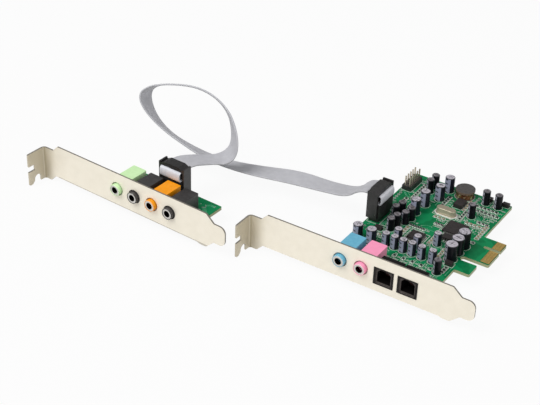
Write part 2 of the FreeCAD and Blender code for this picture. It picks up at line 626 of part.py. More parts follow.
def side_leads(centre, half, count, pitch, out):
    """A row of leads on one side of a chip, facing the out direction."""
    height = BOARD_TOP + LEAD_HEIGHT
    along = V(-out.y, out.x, 0)
    middle = V(centre[0], centre[1], 0) + out * half
    rows = []
    for i in range(count):
        start = middle + along * ((i - (count - 1) / 2) * pitch)
        rows.append(gull_lead(start, out, pitch * LEAD_SHARE, height))
    return rows


def quad_leads(chip):
    """Leads on all four sides of a square chip."""
    leads = []
    for out in (X_AXIS, X_AXIS * -1, Y_AXIS, Y_AXIS * -1):
        leads += side_leads(chip["centre"], chip["side"] / 2, chip["leads"], chip["pitch"], out)
    return Part.makeCompound(leads)


def quad_body(chip):
    """A square chip's body with its pin-one dimple."""
    body = chip_body(chip["centre"], chip["side"], chip["side"], chip["tall"])
    x, y = chip["centre"]
    inset = chip["side"] * DIMPLE_INSET
    top = BOARD_TOP + CHIP_LIFT + chip["tall"]
    dimple = upright(chip["side"] * DIMPLE_RADIUS, CHIP_LIFT, (x - inset, y - inset), top - CHIP_LIFT)
    return body.cut(dimple)


def small_chips():
    """Small chips with leads on two sides."""
    return Part.makeCompound(
        [chip_body(c, SMALL_CHIP_LENGTH, SMALL_CHIP_WIDTH, SMALL_CHIP_TALL) for c in SMALL_CHIPS])


def small_chip_leads():
    """Leads on the two long sides of each small chip."""
    leads = []
    for centre in SMALL_CHIPS:
        for out in (Y_AXIS, Y_AXIS * -1):
            leads += side_leads(centre, SMALL_CHIP_WIDTH / 2, SMALL_CHIP_LEADS, SMALL_CHIP_PITCH, out)
    return Part.makeCompound(leads)


def regulator():
    """The regulator's moulded body and its heat tab on the board."""
    length, width, tall = REGULATOR_SIZE
    x, y = REGULATOR_CENTRE
    body = block(REGULATOR_CENTRE, REGULATOR_SIZE, BOARD_TOP)
    edge = y + width / 2
    tab_size = (length, REGULATOR_TAB, REGULATOR_TAB_THICK)
    tab = block((x, edge + REGULATOR_TAB / 2), tab_size, BOARD_TOP)
    return joined([body, tab])


def stadium(centre, length, width, tall, z0):
    """A standing block with round ends."""
    x, y = centre
    half = (length - width) / 2
    core = box(x - half, x + half, y - width / 2, y + width / 2, z0, z0 + tall)
    ends = [upright(width / 2, tall, (x + side * half, y), z0) for side in (-1, 1)]
    return joined([core] + ends)


def crystal():
    """The crystal's drawn can on its flange."""
    spread = 2 * CRYSTAL_FLANGE
    length, width = CRYSTAL_LENGTH + spread, CRYSTAL_WIDTH + spread
    flange = stadium(CRYSTAL_CENTRE, length, width, CRYSTAL_FLANGE_THICK, BOARD_TOP)
    shell = stadium(CRYSTAL_CENTRE, CRYSTAL_LENGTH, CRYSTAL_WIDTH, CRYSTAL_TALL, BOARD_TOP)
    top = [e for e in shell.Edges if e.BoundBox.ZMin > BOARD_TOP + CRYSTAL_TALL - 1e-6]
    return joined([shell.makeFillet(CRYSTAL_FLANGE, top), flange])


def coil_core():
    """The coil's ferrite drum: two flanges on a hub."""
    hub = upright(COIL_HUB, COIL_HEIGHT, COIL_CENTRE, BOARD_TOP)
    low = upright(COIL_RADIUS, COIL_BASE, COIL_CENTRE, BOARD_TOP)
    high = upright(COIL_RADIUS, COIL_FLANGE, COIL_CENTRE, BOARD_TOP + COIL_HEIGHT - COIL_FLANGE)
    return joined([hub, low, high])


def coil_winding():
    """The copper winding between the drum's flanges."""
    length = COIL_HEIGHT - COIL_FLANGE - COIL_BASE
    z0 = BOARD_TOP + COIL_BASE
    return upright(COIL_WINDING, length, COIL_CENTRE, z0).cut(upright(COIL_HUB, length, COIL_CENTRE, z0))


def row_places(rows):
    """Every place in the rows of surface-mounted parts, with its turn."""
    places = []
    for x, y, step_x, step_y, count, turned in rows:
        places += [((x + i * step_x, y + i * step_y), turned) for i in range(count)]
    return places


def smd_body(centre, turned):
    """A chip part's middle, between its end caps."""
    length = CHIP_LENGTH - 2 * CHIP_END
    size = (CHIP_WIDTH, length, CHIP_TALL) if turned else (length, CHIP_WIDTH, CHIP_TALL)
    return block(centre, size, BOARD_TOP)


def smd_ends(centre, turned):
    """A chip part's two end caps."""
    offset = (CHIP_LENGTH - CHIP_END) / 2
    x, y = centre
    if turned:
        places = [(x, y - offset), (x, y + offset)]
        size = (CHIP_WIDTH, CHIP_END, CHIP_TALL)
    else:
        places = [(x - offset, y), (x + offset, y)]
        size = (CHIP_END, CHIP_WIDTH, CHIP_TALL)
    return [block(place, size, BOARD_TOP) for place in places]


def smd_bodies(rows):
    """All the middles of one kind of chip part."""
    return Part.makeCompound([smd_body(c, turned) for c, turned in row_places(rows)])


def smd_terminals(rows):
    """All the end caps of the chip parts."""
    return Part.makeCompound([cap for c, turned in row_places(rows) for cap in smd_ends(c, turned)])


def rivets(places):
    """Rivets through the bracket's lugs and the board."""
    shapes = []
    for x in places:
        centre = (x, LUG_DEPTH - LUG_HOLE_INSET)
        low = BOARD_LIFT - SHEET
        shank = upright(RIVET_SHANK, SHEET + BOARD_THICK, centre, low)
        under = upright(RIVET_HEAD, RIVET_HEAD_TALL, centre, low - RIVET_HEAD_TALL)
        over = upright(RIVET_HEAD, RIVET_HEAD_TALL, centre, BOARD_TOP)
        shapes.append(joined([shank, under, over]))
    return Part.makeCompound(shapes)


def solder(places):
    """A solder cone and lead tip under the board at each place."""
    low = BOARD_LIFT - SOLDER_TALL
    cones = [Part.makeCone(SOLDER_TIP, SOLDER_RADIUS, SOLDER_TALL, V(x, y, low), Z_AXIS) for x, y in places]
    return Part.makeCompound(cones)


def pin_places(plan, turned):
    """Plan places of a header's pins on a board."""
    x, y = plan
    return [(x - b, y + a) if turned else (x + a, y + b) for a, b in pin_grid()]


def jack_tails(jacks):
    """Plan places of the jacks' soldered tails."""
    rows = [JACK_BACK * share for share in TAIL_ROWS]
    reach = JACK_WIDTH * TAIL_SPREAD
    return [(x + side * reach, y) for x in jacks for y in rows for side in (-1, 1)]


def main_solder():
    """Solder joints of the main board's leaded parts."""
    cases = SMALL_PLACES + DARK_PLACES + SLIM_PLACES + TALL_PLACES + LARGE_PLACES
    places = [(x + side * CAN_LEAD_HALF, y) for x, y in cases for side in (-1, 1)]
    places += pin_places(MAIN_PLUG, True) + pin_places(PANEL_HEADER, True) + jack_tails(MAIN_JACKS)
    tail_row = OPTICAL_BACK * OPTICAL_TAIL_ROW
    places += [(x + step * PIN_PITCH, tail_row) for x in OPTICAL_CENTRES for step in (-1, 0, 1)]
    x, y = CRYSTAL_CENTRE
    places += [(x - CRYSTAL_LENGTH / 4, y), (x + CRYSTAL_LENGTH / 4, y)]
    return solder(places)


def spline(poles):
    """A smooth second-degree curve that starts and ends on its first and last points."""
    spans = len(poles) - 2
    curve = Part.BSplineCurve()
    curve.buildFromPolesMultsKnots(
        poles, [3] + [1] * (spans - 1) + [3], list(range(spans + 1)), False, 2)
    return curve


def ribbon_section(route, side, step):
    """The ribbon's rectangular section at one place along its route."""
    centre = route.value(step)
    way = route.tangent(step)[0]
    across = side.value(step)
    across = across.sub(way * across.dot(way)).normalize()
    face = way.cross(across)
    a, b = across * (RIBBON_WIDTH / 2), face * (RIBBON_THICK / 2)
    corners = [centre + a + b, centre - a + b, centre - a - b, centre + a - b]
    return Part.makePolygon(corners + [corners[0]])


def plug_exit(plan, turn):
    """Where the ribbon leaves a plug, and the way that it heads, in the plug's own half."""
    heading = FreeCAD.Rotation(Z_AXIS, turn).multVec(Y_AXIS)
    height = BOARD_TOP + COVER_TOP + RIBBON_THICK / 2
    return V(plan[0], plan[1], height) + heading * (PLUG_DEPTH / 2 + RIBBON_EXIT), heading


def ribbon_path():
    """The ribbon's route and near sides, with the ends taken from the two plugs."""
    turn = FreeCAD.Rotation(Z_AXIS, AUX_TURN)
    start, start_way = [turn.multVec(v) for v in plug_exit(AUX_PLUG, 0)]
    start = start + V(AUX_ORIGIN[0], AUX_ORIGIN[1], 0)
    end, end_way = plug_exit(MAIN_PLUG, MAIN_PLUG_TURN)
    points = [start, start + start_way * RIBBON_LEAD]
    points += [V(*point) for point, near in ROUTE]
    points += [end + end_way * RIBBON_LEAD, end]
    sides = [turn.multVec(X_AXIS)] * 2 + [V(*near) for point, near in ROUTE] + [Y_AXIS * -1] * 2
    return points, sides


def ribbon_cable():
    """The free ribbon from the second board's plug to the main board's."""
    points, sides = ribbon_path()
    route, side = spline(points), spline(sides)
    count = (len(points) - 2) * SECTIONS_PER_SPAN
    sections = [ribbon_section(route, side, i / SECTIONS_PER_SPAN) for i in range(count + 1)]
    cable = Part.makeLoft(sections, True, True)
    length = route.length()
    print("ribbon length", round(length, 1), "section", round(RIBBON_WIDTH * RIBBON_THICK, 2))
    print("ribbon volume", round(cable.Volume, 1), "against", round(length * RIBBON_WIDTH * RIBBON_THICK, 1))
    radii = [1 / max(route.curvature(i / SECTIONS_PER_SPAN), 1e-6) for i in range(count + 1)]
    print("ribbon tightest radius", round(min(radii), 1))
    return cable


def on_board(shape, plan, turn):
    """A piece made about its own middle, turned and set on a board at a plan point."""
    placed = shape.copy()
    placed.rotate(V(0, 0, 0), Z_AXIS, turn)
    placed.translate(V(plan[0], plan[1], BOARD_TOP))
    return placed


def plug_nodes(name, plan, turn):
    """All the pieces of one ribbon connector and its header."""
    pieces = {
        "header_base": header_base(), "header_pins": header_pins(PIN_HEIGHT), "socket": plug_socket(),
        "cover": plug_cover(), "ribbon_end": ribbon_end(), "strain_relief": strain_relief()}
    return {name + "_plug_" + part: on_board(shape, plan, turn) for part, shape in pieces.items()}


def main_nodes():
    """Every node of the plug-in half."""
    jack_names = ("line_in", "microphone")
    nodes = {
        "main_bracket": bracket(MAIN_JACKS, OPTICAL_CENTRES, MAIN_RIVETS), "main_board": main_board(),
        "edge_contacts": edge_contacts(), "main_rivets": rivets(MAIN_RIVETS), "main_solder": main_solder()}
    for name, x in zip(jack_names, MAIN_JACKS):
        nodes[name + "_jack_housing"] = jack_housing(x)
    nodes["main_jack_sleeves"] = jack_sleeves(MAIN_JACKS)
    nodes["main_jack_springs"] = jack_springs(MAIN_JACKS)
    for name, x in zip(("optical_out", "optical_in"), OPTICAL_CENTRES):
        nodes[name + "_housing"] = optical_housing(x)
    nodes["optical_light_guides"] = Part.makeCompound([light_guide(x) for x in OPTICAL_CENTRES])
    nodes.update(plug_nodes("main", MAIN_PLUG, MAIN_PLUG_TURN))
    nodes["panel_header_base"] = on_board(header_base(), PANEL_HEADER, PANEL_HEADER_TURN)
    nodes["panel_header_pins"] = on_board(header_pins(PANEL_PIN_HEIGHT), PANEL_HEADER, PANEL_HEADER_TURN)
    kinds = {
        "small": (SMALL_PLACES, SMALL_CAN), "dark": (DARK_PLACES, SMALL_CAN), "slim": (SLIM_PLACES, SLIM_CAN),
        "tall": (TALL_PLACES, TALL_CAN), "large": (LARGE_PLACES, LARGE_CAN)}
    for name, (places, size) in kinds.items():
        nodes[name + "_capacitor_cans"] = Part.makeCompound([can(place, size) for place in places])
        nodes[name + "_capacitor_sleeves"] = Part.makeCompound([sleeve(place, size) for place in places])
    nodes["audio_controller"] = quad_body(CONTROLLER)
    nodes["audio_controller_leads"] = quad_leads(CONTROLLER)
    nodes["codec"] = quad_body(CODEC)
    nodes["codec_leads"] = quad_leads(CODEC)
    nodes["small_chips"] = small_chips()
    nodes["small_chip_leads"] = small_chip_leads()
    nodes["regulator"] = regulator()
    nodes["crystal"] = crystal()
    nodes["coil_core"] = coil_core()
    nodes["coil_winding"] = coil_winding()
    nodes["chip_resistors"] = smd_bodies(RESISTOR_ROWS)
    nodes["chip_ceramics"] = smd_bodies(CERAMIC_ROWS)
    nodes["chip_terminals"] = smd_terminals(RESISTOR_ROWS + CERAMIC_ROWS)
    nodes["power_chokes"] = Part.makeCompound([block(place, BLOCK_SIZE, BOARD_TOP) for place in BLOCK_PLACES])
    return nodes


def aux_nodes():
    """Every node of the four-jack half, in its own frame."""
    nodes = {
        "aux_bracket": bracket(AUX_JACKS, (), AUX_RIVETS), "aux_board": aux_board(),
        "aux_rivets": rivets(AUX_RIVETS)}
    for name, x in zip(("front", "side", "centre", "rear"), AUX_JACKS):
        nodes[name + "_jack_housing"] = jack_housing(x)
    nodes["aux_jack_sleeves"] = jack_sleeves(AUX_JACKS)
    nodes["aux_jack_springs"] = jack_springs(AUX_JACKS)
    nodes.update(plug_nodes("aux", AUX_PLUG, 0))
    nodes["aux_solder"] = solder(pin_places(AUX_PLUG, False) + jack_tails(AUX_JACKS))
    return nodes


def assembly():
    """Both halves and the ribbon, moved so that the origin is under the middle of the boards."""
    nodes = main_nodes()
    for name, shape in aux_nodes().items():
        shape.rotate(V(0, 0, 0), Z_AXIS, AUX_TURN)
        shape.translate(V(AUX_ORIGIN[0], AUX_ORIGIN[1], 0))
        nodes[name] = shape
    for group in ("rivets", "solder"):
        halves = [nodes.pop("main_" + group), nodes.pop("aux_" + group)]
        nodes[group] = Part.makeCompound([solid for half in halves for solid in half.Solids])
    room = FreeCAD.BoundBox()
    for shape in nodes.values():
        room.add(shape.optimalBoundingBox(False))
    nodes["ribbon_cable"] = ribbon_cable()
    shift = V(-room.Center.x, -room.Center.y, -room.ZMin)
    for shape in nodes.values():
        shape.translate(shift)
    return nodes


os.makedirs("parts", exist_ok=True)
for node, shape in assembly().items():
    shape.exportStep("parts/" + node + ".step")
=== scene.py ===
import math
import random

import bmesh
import bpy
from mathutils import Matrix, Vector


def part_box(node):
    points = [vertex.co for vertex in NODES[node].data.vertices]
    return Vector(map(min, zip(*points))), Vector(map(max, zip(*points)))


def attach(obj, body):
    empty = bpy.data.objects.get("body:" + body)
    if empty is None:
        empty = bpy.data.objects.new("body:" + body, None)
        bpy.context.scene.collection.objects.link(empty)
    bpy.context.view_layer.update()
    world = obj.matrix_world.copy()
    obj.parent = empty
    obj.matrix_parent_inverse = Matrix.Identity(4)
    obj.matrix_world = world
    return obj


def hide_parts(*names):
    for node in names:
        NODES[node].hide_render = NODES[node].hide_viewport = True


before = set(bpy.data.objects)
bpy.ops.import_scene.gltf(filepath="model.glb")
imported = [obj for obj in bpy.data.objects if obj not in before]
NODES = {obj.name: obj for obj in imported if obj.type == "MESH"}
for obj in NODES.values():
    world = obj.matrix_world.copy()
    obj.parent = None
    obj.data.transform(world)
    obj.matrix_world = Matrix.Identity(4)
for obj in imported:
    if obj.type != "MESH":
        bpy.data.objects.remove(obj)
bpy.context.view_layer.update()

# Camera, in the row frame
PHOTO_WIDTH = 540
SENSOR_WIDTH = 36.0
FOCAL_PIXELS = 1292.84
CAMERA_PLACE = Vector((0.284868, -0.471038, 0.359168))
CAMERA_RIGHT = Vector((0.83658, 0.54710, 0.02850))
CAMERA_DOWN = Vector((0.31691, -0.44086, -0.83977))
CAMERA_AHEAD = Vector((-0.44687, 0.71157, -0.54220))

# The two halves: the main one's own zero is its bracket's outer bend, at the board's side
TAB_DEPTH = 0.01143
TAB_DROP = 0.0034
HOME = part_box("main_bracket")[0] + Vector((0, TAB_DEPTH, TAB_DROP))
MAIN_HALF = Matrix.Translation(HOME)
AUX_PLACE = Vector((-0.1223, -0.009, 0))
AUX_TURN = math.radians(-3.55)
AUX_HALF = MAIN_HALF @ Matrix.Translation(AUX_PLACE) @ Matrix.Rotation(AUX_TURN, 4, "Z")
BOARD_TOP = 0.00395
BOARD_UNDER = 0.00238

# The crystal's flange, in metres
FLANGE_REACH = 0.0005
FLANGE_BITE = 0.0001
FLANGE_HEIGHT = 0.00045
FLANGE_STEPS = 10

# Ribbon plugs and ribbon, in metres
PLUG_DEPTH = 0.0066
SOCKET_TOP = 0.0099
COVER_THICK = 0.0038
FOLD_PROUD = 0.0008
RIBBON_BURIED = 0.0008
RIBBON_EXIT = 0.001
RIBBON_LEAD = 0.0042
RIBBON_WAYS = 10
WAY_PITCH = 0.00127
RIBBON_THICK = 0.0009
RIBBON_WEB = 0.00076
WAY_POINTS = (-1.0, -0.66, -0.36, 0.0, 0.36, 0.66)
LINE_STEPS = 8
LINE_ORDER = 3
MAIN_PLUG = (0.0439, 0.0510)
AUX_PLUG = (0.0704, 0.0219)
ROUTE = [
    ((-0.0457, 0.0252, 0.0172), (0.99, -0.17, 0.02)), ((-0.0407, 0.0312, 0.0160), (0.95, -0.28, 0.13)),
    ((-0.0366, 0.0344, 0.0174), (0.89, -0.40, 0.21)), ((-0.0348, 0.0365, 0.0203), (0.80, -0.49, 0.34)),
    ((-0.0355, 0.0393, 0.0249), (0.68, -0.55, 0.48)), ((-0.0389, 0.0429, 0.0301), (0.55, -0.58, 0.60)),
    ((-0.0445, 0.0468, 0.0349), (0.41, -0.65, 0.63)), ((-0.0520, 0.0491, 0.0387), (0.27, -0.72, 0.64)),
    ((-0.0603, 0.0503, 0.0405), (0.14, -0.79, 0.60)), ((-0.0687, 0.0511, 0.0404), (0.08, -0.85, 0.52)),
    ((-0.0769, 0.0512, 0.0391), (0.07, -0.89, 0.44)), ((-0.0848, 0.0494, 0.0379), (0.09, -0.90, 0.42)),
    ((-0.0917, 0.0459, 0.0366), (0.12, -0.94, 0.33)), ((-0.0954, 0.0429, 0.0329), (0.12, -0.95, 0.29)),
    ((-0.0938, 0.0417, 0.0270), (0.15, -0.90, 0.40)), ((-0.0878, 0.0410, 0.0202), (0.23, -0.83, 0.50)),
    ((-0.0786, 0.0411, 0.0144), (0.24, -0.80, 0.55)), ((-0.0677, 0.0419, 0.0107), (0.22, -0.84, 0.50)),
    ((-0.0555, 0.0424, 0.0079), (0.18, -0.90, 0.40)), ((-0.0411, 0.0435, 0.0069), (0.13, -0.96, 0.27)),
    ((-0.0237, 0.0463, 0.0075), (0.06, -0.99, 0.11)), ((-0.0048, 0.0501, 0.0090), (-0.01, -1.00, -0.03)),
    ((0.0137, 0.0516, 0.0091), (-0.10, -0.99, 0.12)), ((0.0286, 0.0515, 0.0113), (-0.13, -0.99, 0.06))]

# Printing on the boards: plan areas are low x, low y, high x and high y on a half
SILK_LIFT = 0.00004
PAD_LIFT = 0.00003
TRACK_LIFT = 0.00002
SILK_LINE = 0.00025
TRACK_LINE = 0.00022
TRACK_PITCH = 0.00055
TRACK_CELL = 0.00025
VIA_HOLE = 0.00016
VIA_RING = 0.00032
FIGURE_SIZE = 0.00046
FIGURE_STEP = 1.7
FIGURE_GAP = 0.7
FIGURE_LINE = 0.00018
WORD_LENGTHS = (2, 5)
ROW_STEP = 4
MAIN_AREA = (0.0410, 0.0020, 0.0943, 0.0969)
AUX_AREA = (0.0472, 0.0020, 0.0963, 0.0264)
PLAIN_AREAS = [(0.0600, 0.0580, 0.0680, 0.0710), (0.0900, 0.0520, 0.0950, 0.0600)]
TEXT_AREAS = [
    (0.0835, 0.0762, 0.0938, 0.0812), (0.0845, 0.0640, 0.0915, 0.0690), (0.0465, 0.0420, 0.0515, 0.0500),
    (0.0475, 0.0925, 0.0520, 0.0962), (0.0640, 0.0745, 0.0780, 0.0790), (0.0600, 0.0221, 0.0860, 0.0235)]
PAD_ROWS = [
    ((0.0425, 0.0390), (0.00254, 0), 3), ((0.0425, 0.0365), (0.00254, 0), 3),
    ((0.0480, 0.0905), (0.0018, 0), 3), ((0.0780, 0.0905), (0, 0.0020), 3),
    ((0.0866, 0.0905), (0, 0.0020), 3), ((0.0425, 0.0630), (0, 0.0022), 7)]
PAD_RADIUS = 0.0008
PAD_STEPS = 12
VIA_STEPS = 8
DOT_STEPS = 10
HALF_RING_STEPS = 10
JOINT_RING = 1.35
JOINT_STEPS = 14
CASE_RING = (0.0003, 0.0005)
COIL_RING = (0.00505, 0.00525)
COIL_STEPS = 32
CHIP_MARGIN = 0.0016
PART_MARGIN = 0.0006
SMALL_MARGIN = 0.00055
DOT_LEFT = 0.0021
DOT_BELOW = 0.0006
DOT_RADIUS = 0.0003
END_PAD = 0.00018
FOOT_PAD = 0.00008
BARE_MARGIN = 0.00015
LABEL_CLEAR = 0.0004
LABEL_BESIDE = 0.0007
LABEL_BELOW = 0.0021
AUX_LABEL_BESIDE = 0.0011
AUX_LABEL_BELOW = 0.0012
FIRST_LEG = (0.002, 0.011)
SECOND_LEG = (0.002, 0.008)
MOST_LANES = 5
MAIN_TRIES = 4000
AUX_TRIES = 500
TRACK_SEEDS = {"main": 11, "main_under": 12, "aux": 21, "aux_under": 22}
WELD = 1e-6
STROKES = {
    "a": ((0, 2), (1, 2)), "b": ((1, 2), (1, 1)), "c": ((1, 1), (1, 0)), "d": ((0, 0), (1, 0)),
    "e": ((0, 0), (0, 1)), "f": ((0, 1), (0, 2)), "g": ((0, 1), (1, 1))}
FIGURES = {
    "0": "abcdef", "1": "bc", "2": "abged", "3": "abgcd", "4": "fgbc", "5": "afgcd", "6": "afgedc",
    "7": "abc", "8": "abcdefg", "9": "abcdfg", "C": "afed", "J": "bcde", "L": "fed", "U": "fedcb"}

# Where a finish changes along a piece, and the sizes of its marks, in metres
FOOT_END = 0.002
# Painted shade past a bracket's bend starts at BEND_START and fades out by the next reach
BEND_START = 0.002
BEND_SHADE_REACH = 0.011
# Height of the painted shade line along the second bracket's lower edge
LOWER_SHADE_LINE = 0.0005
SOCKET_STEP = 0.0008
COPPER_AREA = 0.009
WIRE_GLINT = 0.0022
STAMPED_MARK = 0.0012

# Waves down a piece, in radians a metre
DASH_WAVE = 2600.0
WIRE_WAVE = 15000.0

# Ramps of a shade: from low, from high, to low, to high
NOISE_RANGE = (0.3, 0.7)
HALF_RAMP = (0.4, 0.6, 0, 1)
EDGE_RAMP = (0.28, 0.42, 0, 1)
INTO_BEND = (0.04, 0.3, 0, 1)
OUT_OF_BEND = (0.7, 0.99, 1, 0)
# How dark the painted shade on the tabs and bends gets
TAB_SHADE_SHARE = 0.66
TAB_RAMP = (0.4, 0.95, 0, TAB_SHADE_SHARE)
FRONT_RAMP = (-0.98, -0.6, 0.6, 0)
SLEEVE_RAMP = (0.6, 0.75, 0, 1)
COPPER_RAMP = (0.52, 0.53, 0, 1)
DASH_ROW = (0.5, 0.6, 0, 1)
DASH_COLUMN = (0.93, 0.95, 0, 1)
LIP_RAMP = (0.5, 0.7, 0, 1)
WIRE_RAMP = (-1, 0.6, 0, 1)
GLINT_RAMP = (0.58, 0.64, 0, 0.9)
TOP_RAMP = (0.5, 0.9, 0, 0.6)
CORE_RAMP = (0.4, 0.95, 0, 1)
STAMP_RAMP = (0.60, 0.66, 0, 0.8)
CAN_RAMP = (0.80, 0.99, 0, 1)
STRIPE_EDGE = 0.04
# Strength of the painted shade line along the second bracket's lower edge
LOWER_SHADE_SHARE = 0.5
# Strength of the painted gap shadow round the optical sockets' front rim
GAP_SHADOW_SHARE = 0.85
BROAD_GRAIN = 6
COAT_ROUGH = 0.15

# Colours of edges, stripes and marks, and of painted shade, shadow and highlights
# Painted shade on the bracket tabs and round their bends
TAB_SHADE_PAINT = (0.42, 0.36, 0.24)
# Cut edges of the brackets, darkened partly as painted shade, and the painted shade line on the lower edge
CUT_EDGE_AND_SHADE = (0.22, 0.20, 0.17)
# Painted highlight on the front faces of the coloured jacks
FRONT_HIGHLIGHT_PAINT = (0.86, 0.82, 0.74)
# Painted shade inside the jack sleeves
SLEEVE_INSIDE_SHADE = (0.018, 0.016, 0.016)
# Painted shade in the optical sockets' deep recess
SOCKET_RECESS_SHADE = (0.007, 0.006, 0.006)
# Painted shadow of the gap round the optical sockets' front rim
SOCKET_GAP_SHADOW = (0.004, 0.004, 0.004)
COVERED_COPPER = (0.004, 0.225, 0.078)
CUT_LAMINATE = (0.40, 0.42, 0.25)
# Sleeve bands: a lavender polarity stripe that also serves as a painted highlight, and a grey painted
# highlight on the dark sleeves
LAVENDER_STRIPE_AND_HIGHLIGHT = (0.34, 0.355, 0.47)
DARK_SLEEVE_HIGHLIGHT = (0.36, 0.36, 0.42)
DASH_INK = (0.05, 0.055, 0.07)
SLEEVE_LIP = (0.06, 0.06, 0.07)
# Painted shade between the coil's turns, and painted glints on them
WIRE_SHADE = (0.05, 0.018, 0.007)
WIRE_GLINT_PAINT = (0.85, 0.70, 0.42)
# Painted shade on the crystal can's flat top
CRYSTAL_TOP_SHADE = (0.28, 0.225, 0.165)
# Painted highlight on the coil core's rims
CORE_RIM_HIGHLIGHT = (0.17, 0.12, 0.085)
STAMP_SHADE = (0.06, 0.055, 0.06)
CAN_RIM = (0.035, 0.035, 0.04)
WHITE = (1, 1, 1)

# Pale bands on the sleeves: which way they face in plan, and how near to that way they end. The small
# sleeves' band is a polarity stripe that also serves as a painted highlight; the dark sleeves' band is only a
# painted highlight.
STRIPE_WAY = (-0.35, -0.94)
STRIPE_END = 0.62
DARK_HIGHLIGHT_WAY = (-0.60, -0.80)
DARK_HIGHLIGHT_END = 0.90

# Stage: lamps have a place, a side in metres and a power in watts
FLOOR_HALF = 4.0
FLOOR_DROP = 0.00005
FLOOR_GREY = (0.66, 0.66, 0.66)
FLOOR_GLOW = 0.93
WORLD_LIGHT = 0.38
LAMPS = {
    "key_lamp": ((-0.45, -0.85, 1.35), 1.0, 18.5),
    "fill_lamp": ((1.10, -0.50, 0.70), 1.0, 4.8)}


def add_node(tree, kind, inputs, **settings):
    """A shader node with its settings, and its sockets set to values or linked to other sockets."""
    made = tree.nodes.new("ShaderNode" + kind)
    for key, value in settings.items():
        setattr(made, key, value)
    for key, value in inputs.items():
        if isinstance(value, bpy.types.NodeSocket):
            tree.links.new(value, made.inputs[key])
        else:
            made.inputs[key].default_value = value
    return made


def opaque(colour):
    """A colour of three values with its alpha."""
    return (*colour, 1.0)


def mixed(tree, share, first, second):
    """A colour between two colours or colour sockets."""
    node = add_node(tree, "Mix", {0: share}, data_type="RGBA")
    for index, value in ((6, first), (7, second)):
        if isinstance(value, bpy.types.NodeSocket):
            tree.links.new(value, node.inputs[index])
        else:
            node.inputs[index].default_value = opaque(value)
    return node.outputs[2]


def maths(tree, operation, *values):
    """The result of a sum on values or sockets."""
    return add_node(tree, "Math", dict(enumerate(values)), operation=operation).outputs[0]


def ranged(tree, value, low, high, to_low, to_high):
    """A value moved smoothly from one range to another."""
    sockets = {"Value": value, "From Min": low, "From Max": high, "To Min": to_low, "To Max": to_high}
    return add_node(tree, "MapRange", sockets, interpolation_type="SMOOTHSTEP").outputs[0]


def coordinates(tree):
    """The piece's own coordinates, in metres."""
    return add_node(tree, "TexCoord", {}).outputs["Object"]


def facing(tree):
    """The surface's own direction, split in x, y and z."""
    direction = add_node(tree, "TexCoord", {}).outputs["Normal"]
    return add_node(tree, "SeparateXYZ", {0: direction}).outputs


def noise(tree, size, detail=4.0):
    """Noise with features of about that size in metres."""
    sockets = {"Vector": coordinates(tree), "Scale": 1 / size, "Detail": detail}
    return add_node(tree, "TexNoise", sockets).outputs[0]


def start_finish(name, metal, coat, sheen):
    """A new material with its shader's constants set."""
    made = bpy.data.materials.new(name)
    made.use_nodes = True
    tree = made.node_tree
    shader = tree.nodes["Principled BSDF"]
    shader.inputs["Metallic"].default_value = metal
    shader.inputs["Coat Weight"].default_value = coat
    shader.inputs["Specular IOR Level"].default_value = sheen
    shader.inputs["Coat Roughness"].default_value = COAT_ROUGH
    return made, tree, shader


def finish(name, tones, rough, grain, bump, metal=0.0, coat=0.0, sheen=0.5, colour=None):
    """A material whose tone, gloss and relief vary with a noise of the given grain.

    colour takes the tree and the varied tone and gives another colour, for edges and stripes.
    """
    made, tree, shader = start_finish(name, metal, coat, sheen)
    broad = noise(tree, grain * BROAD_GRAIN)
    fine = noise(tree, grain)
    tone = mixed(tree, ranged(tree, broad, *NOISE_RANGE, 0, 1), *tones)
    if colour:
        tone = colour(tree, tone)
    tree.links.new(tone, shader.inputs["Base Color"])
    tree.links.new(ranged(tree, broad, *NOISE_RANGE, *rough), shader.inputs["Roughness"])
    relief = add_node(tree, "Bump", {"Height": fine, "Distance": bump, "Strength": 1.0})
    tree.links.new(relief.outputs[0], shader.inputs["Normal"])
    return made


def axis_place(tree, axis):
    """Where a surface lies along one axis, in metres."""
    return add_node(tree, "SeparateXYZ", {0: coordinates(tree)}).outputs[axis]


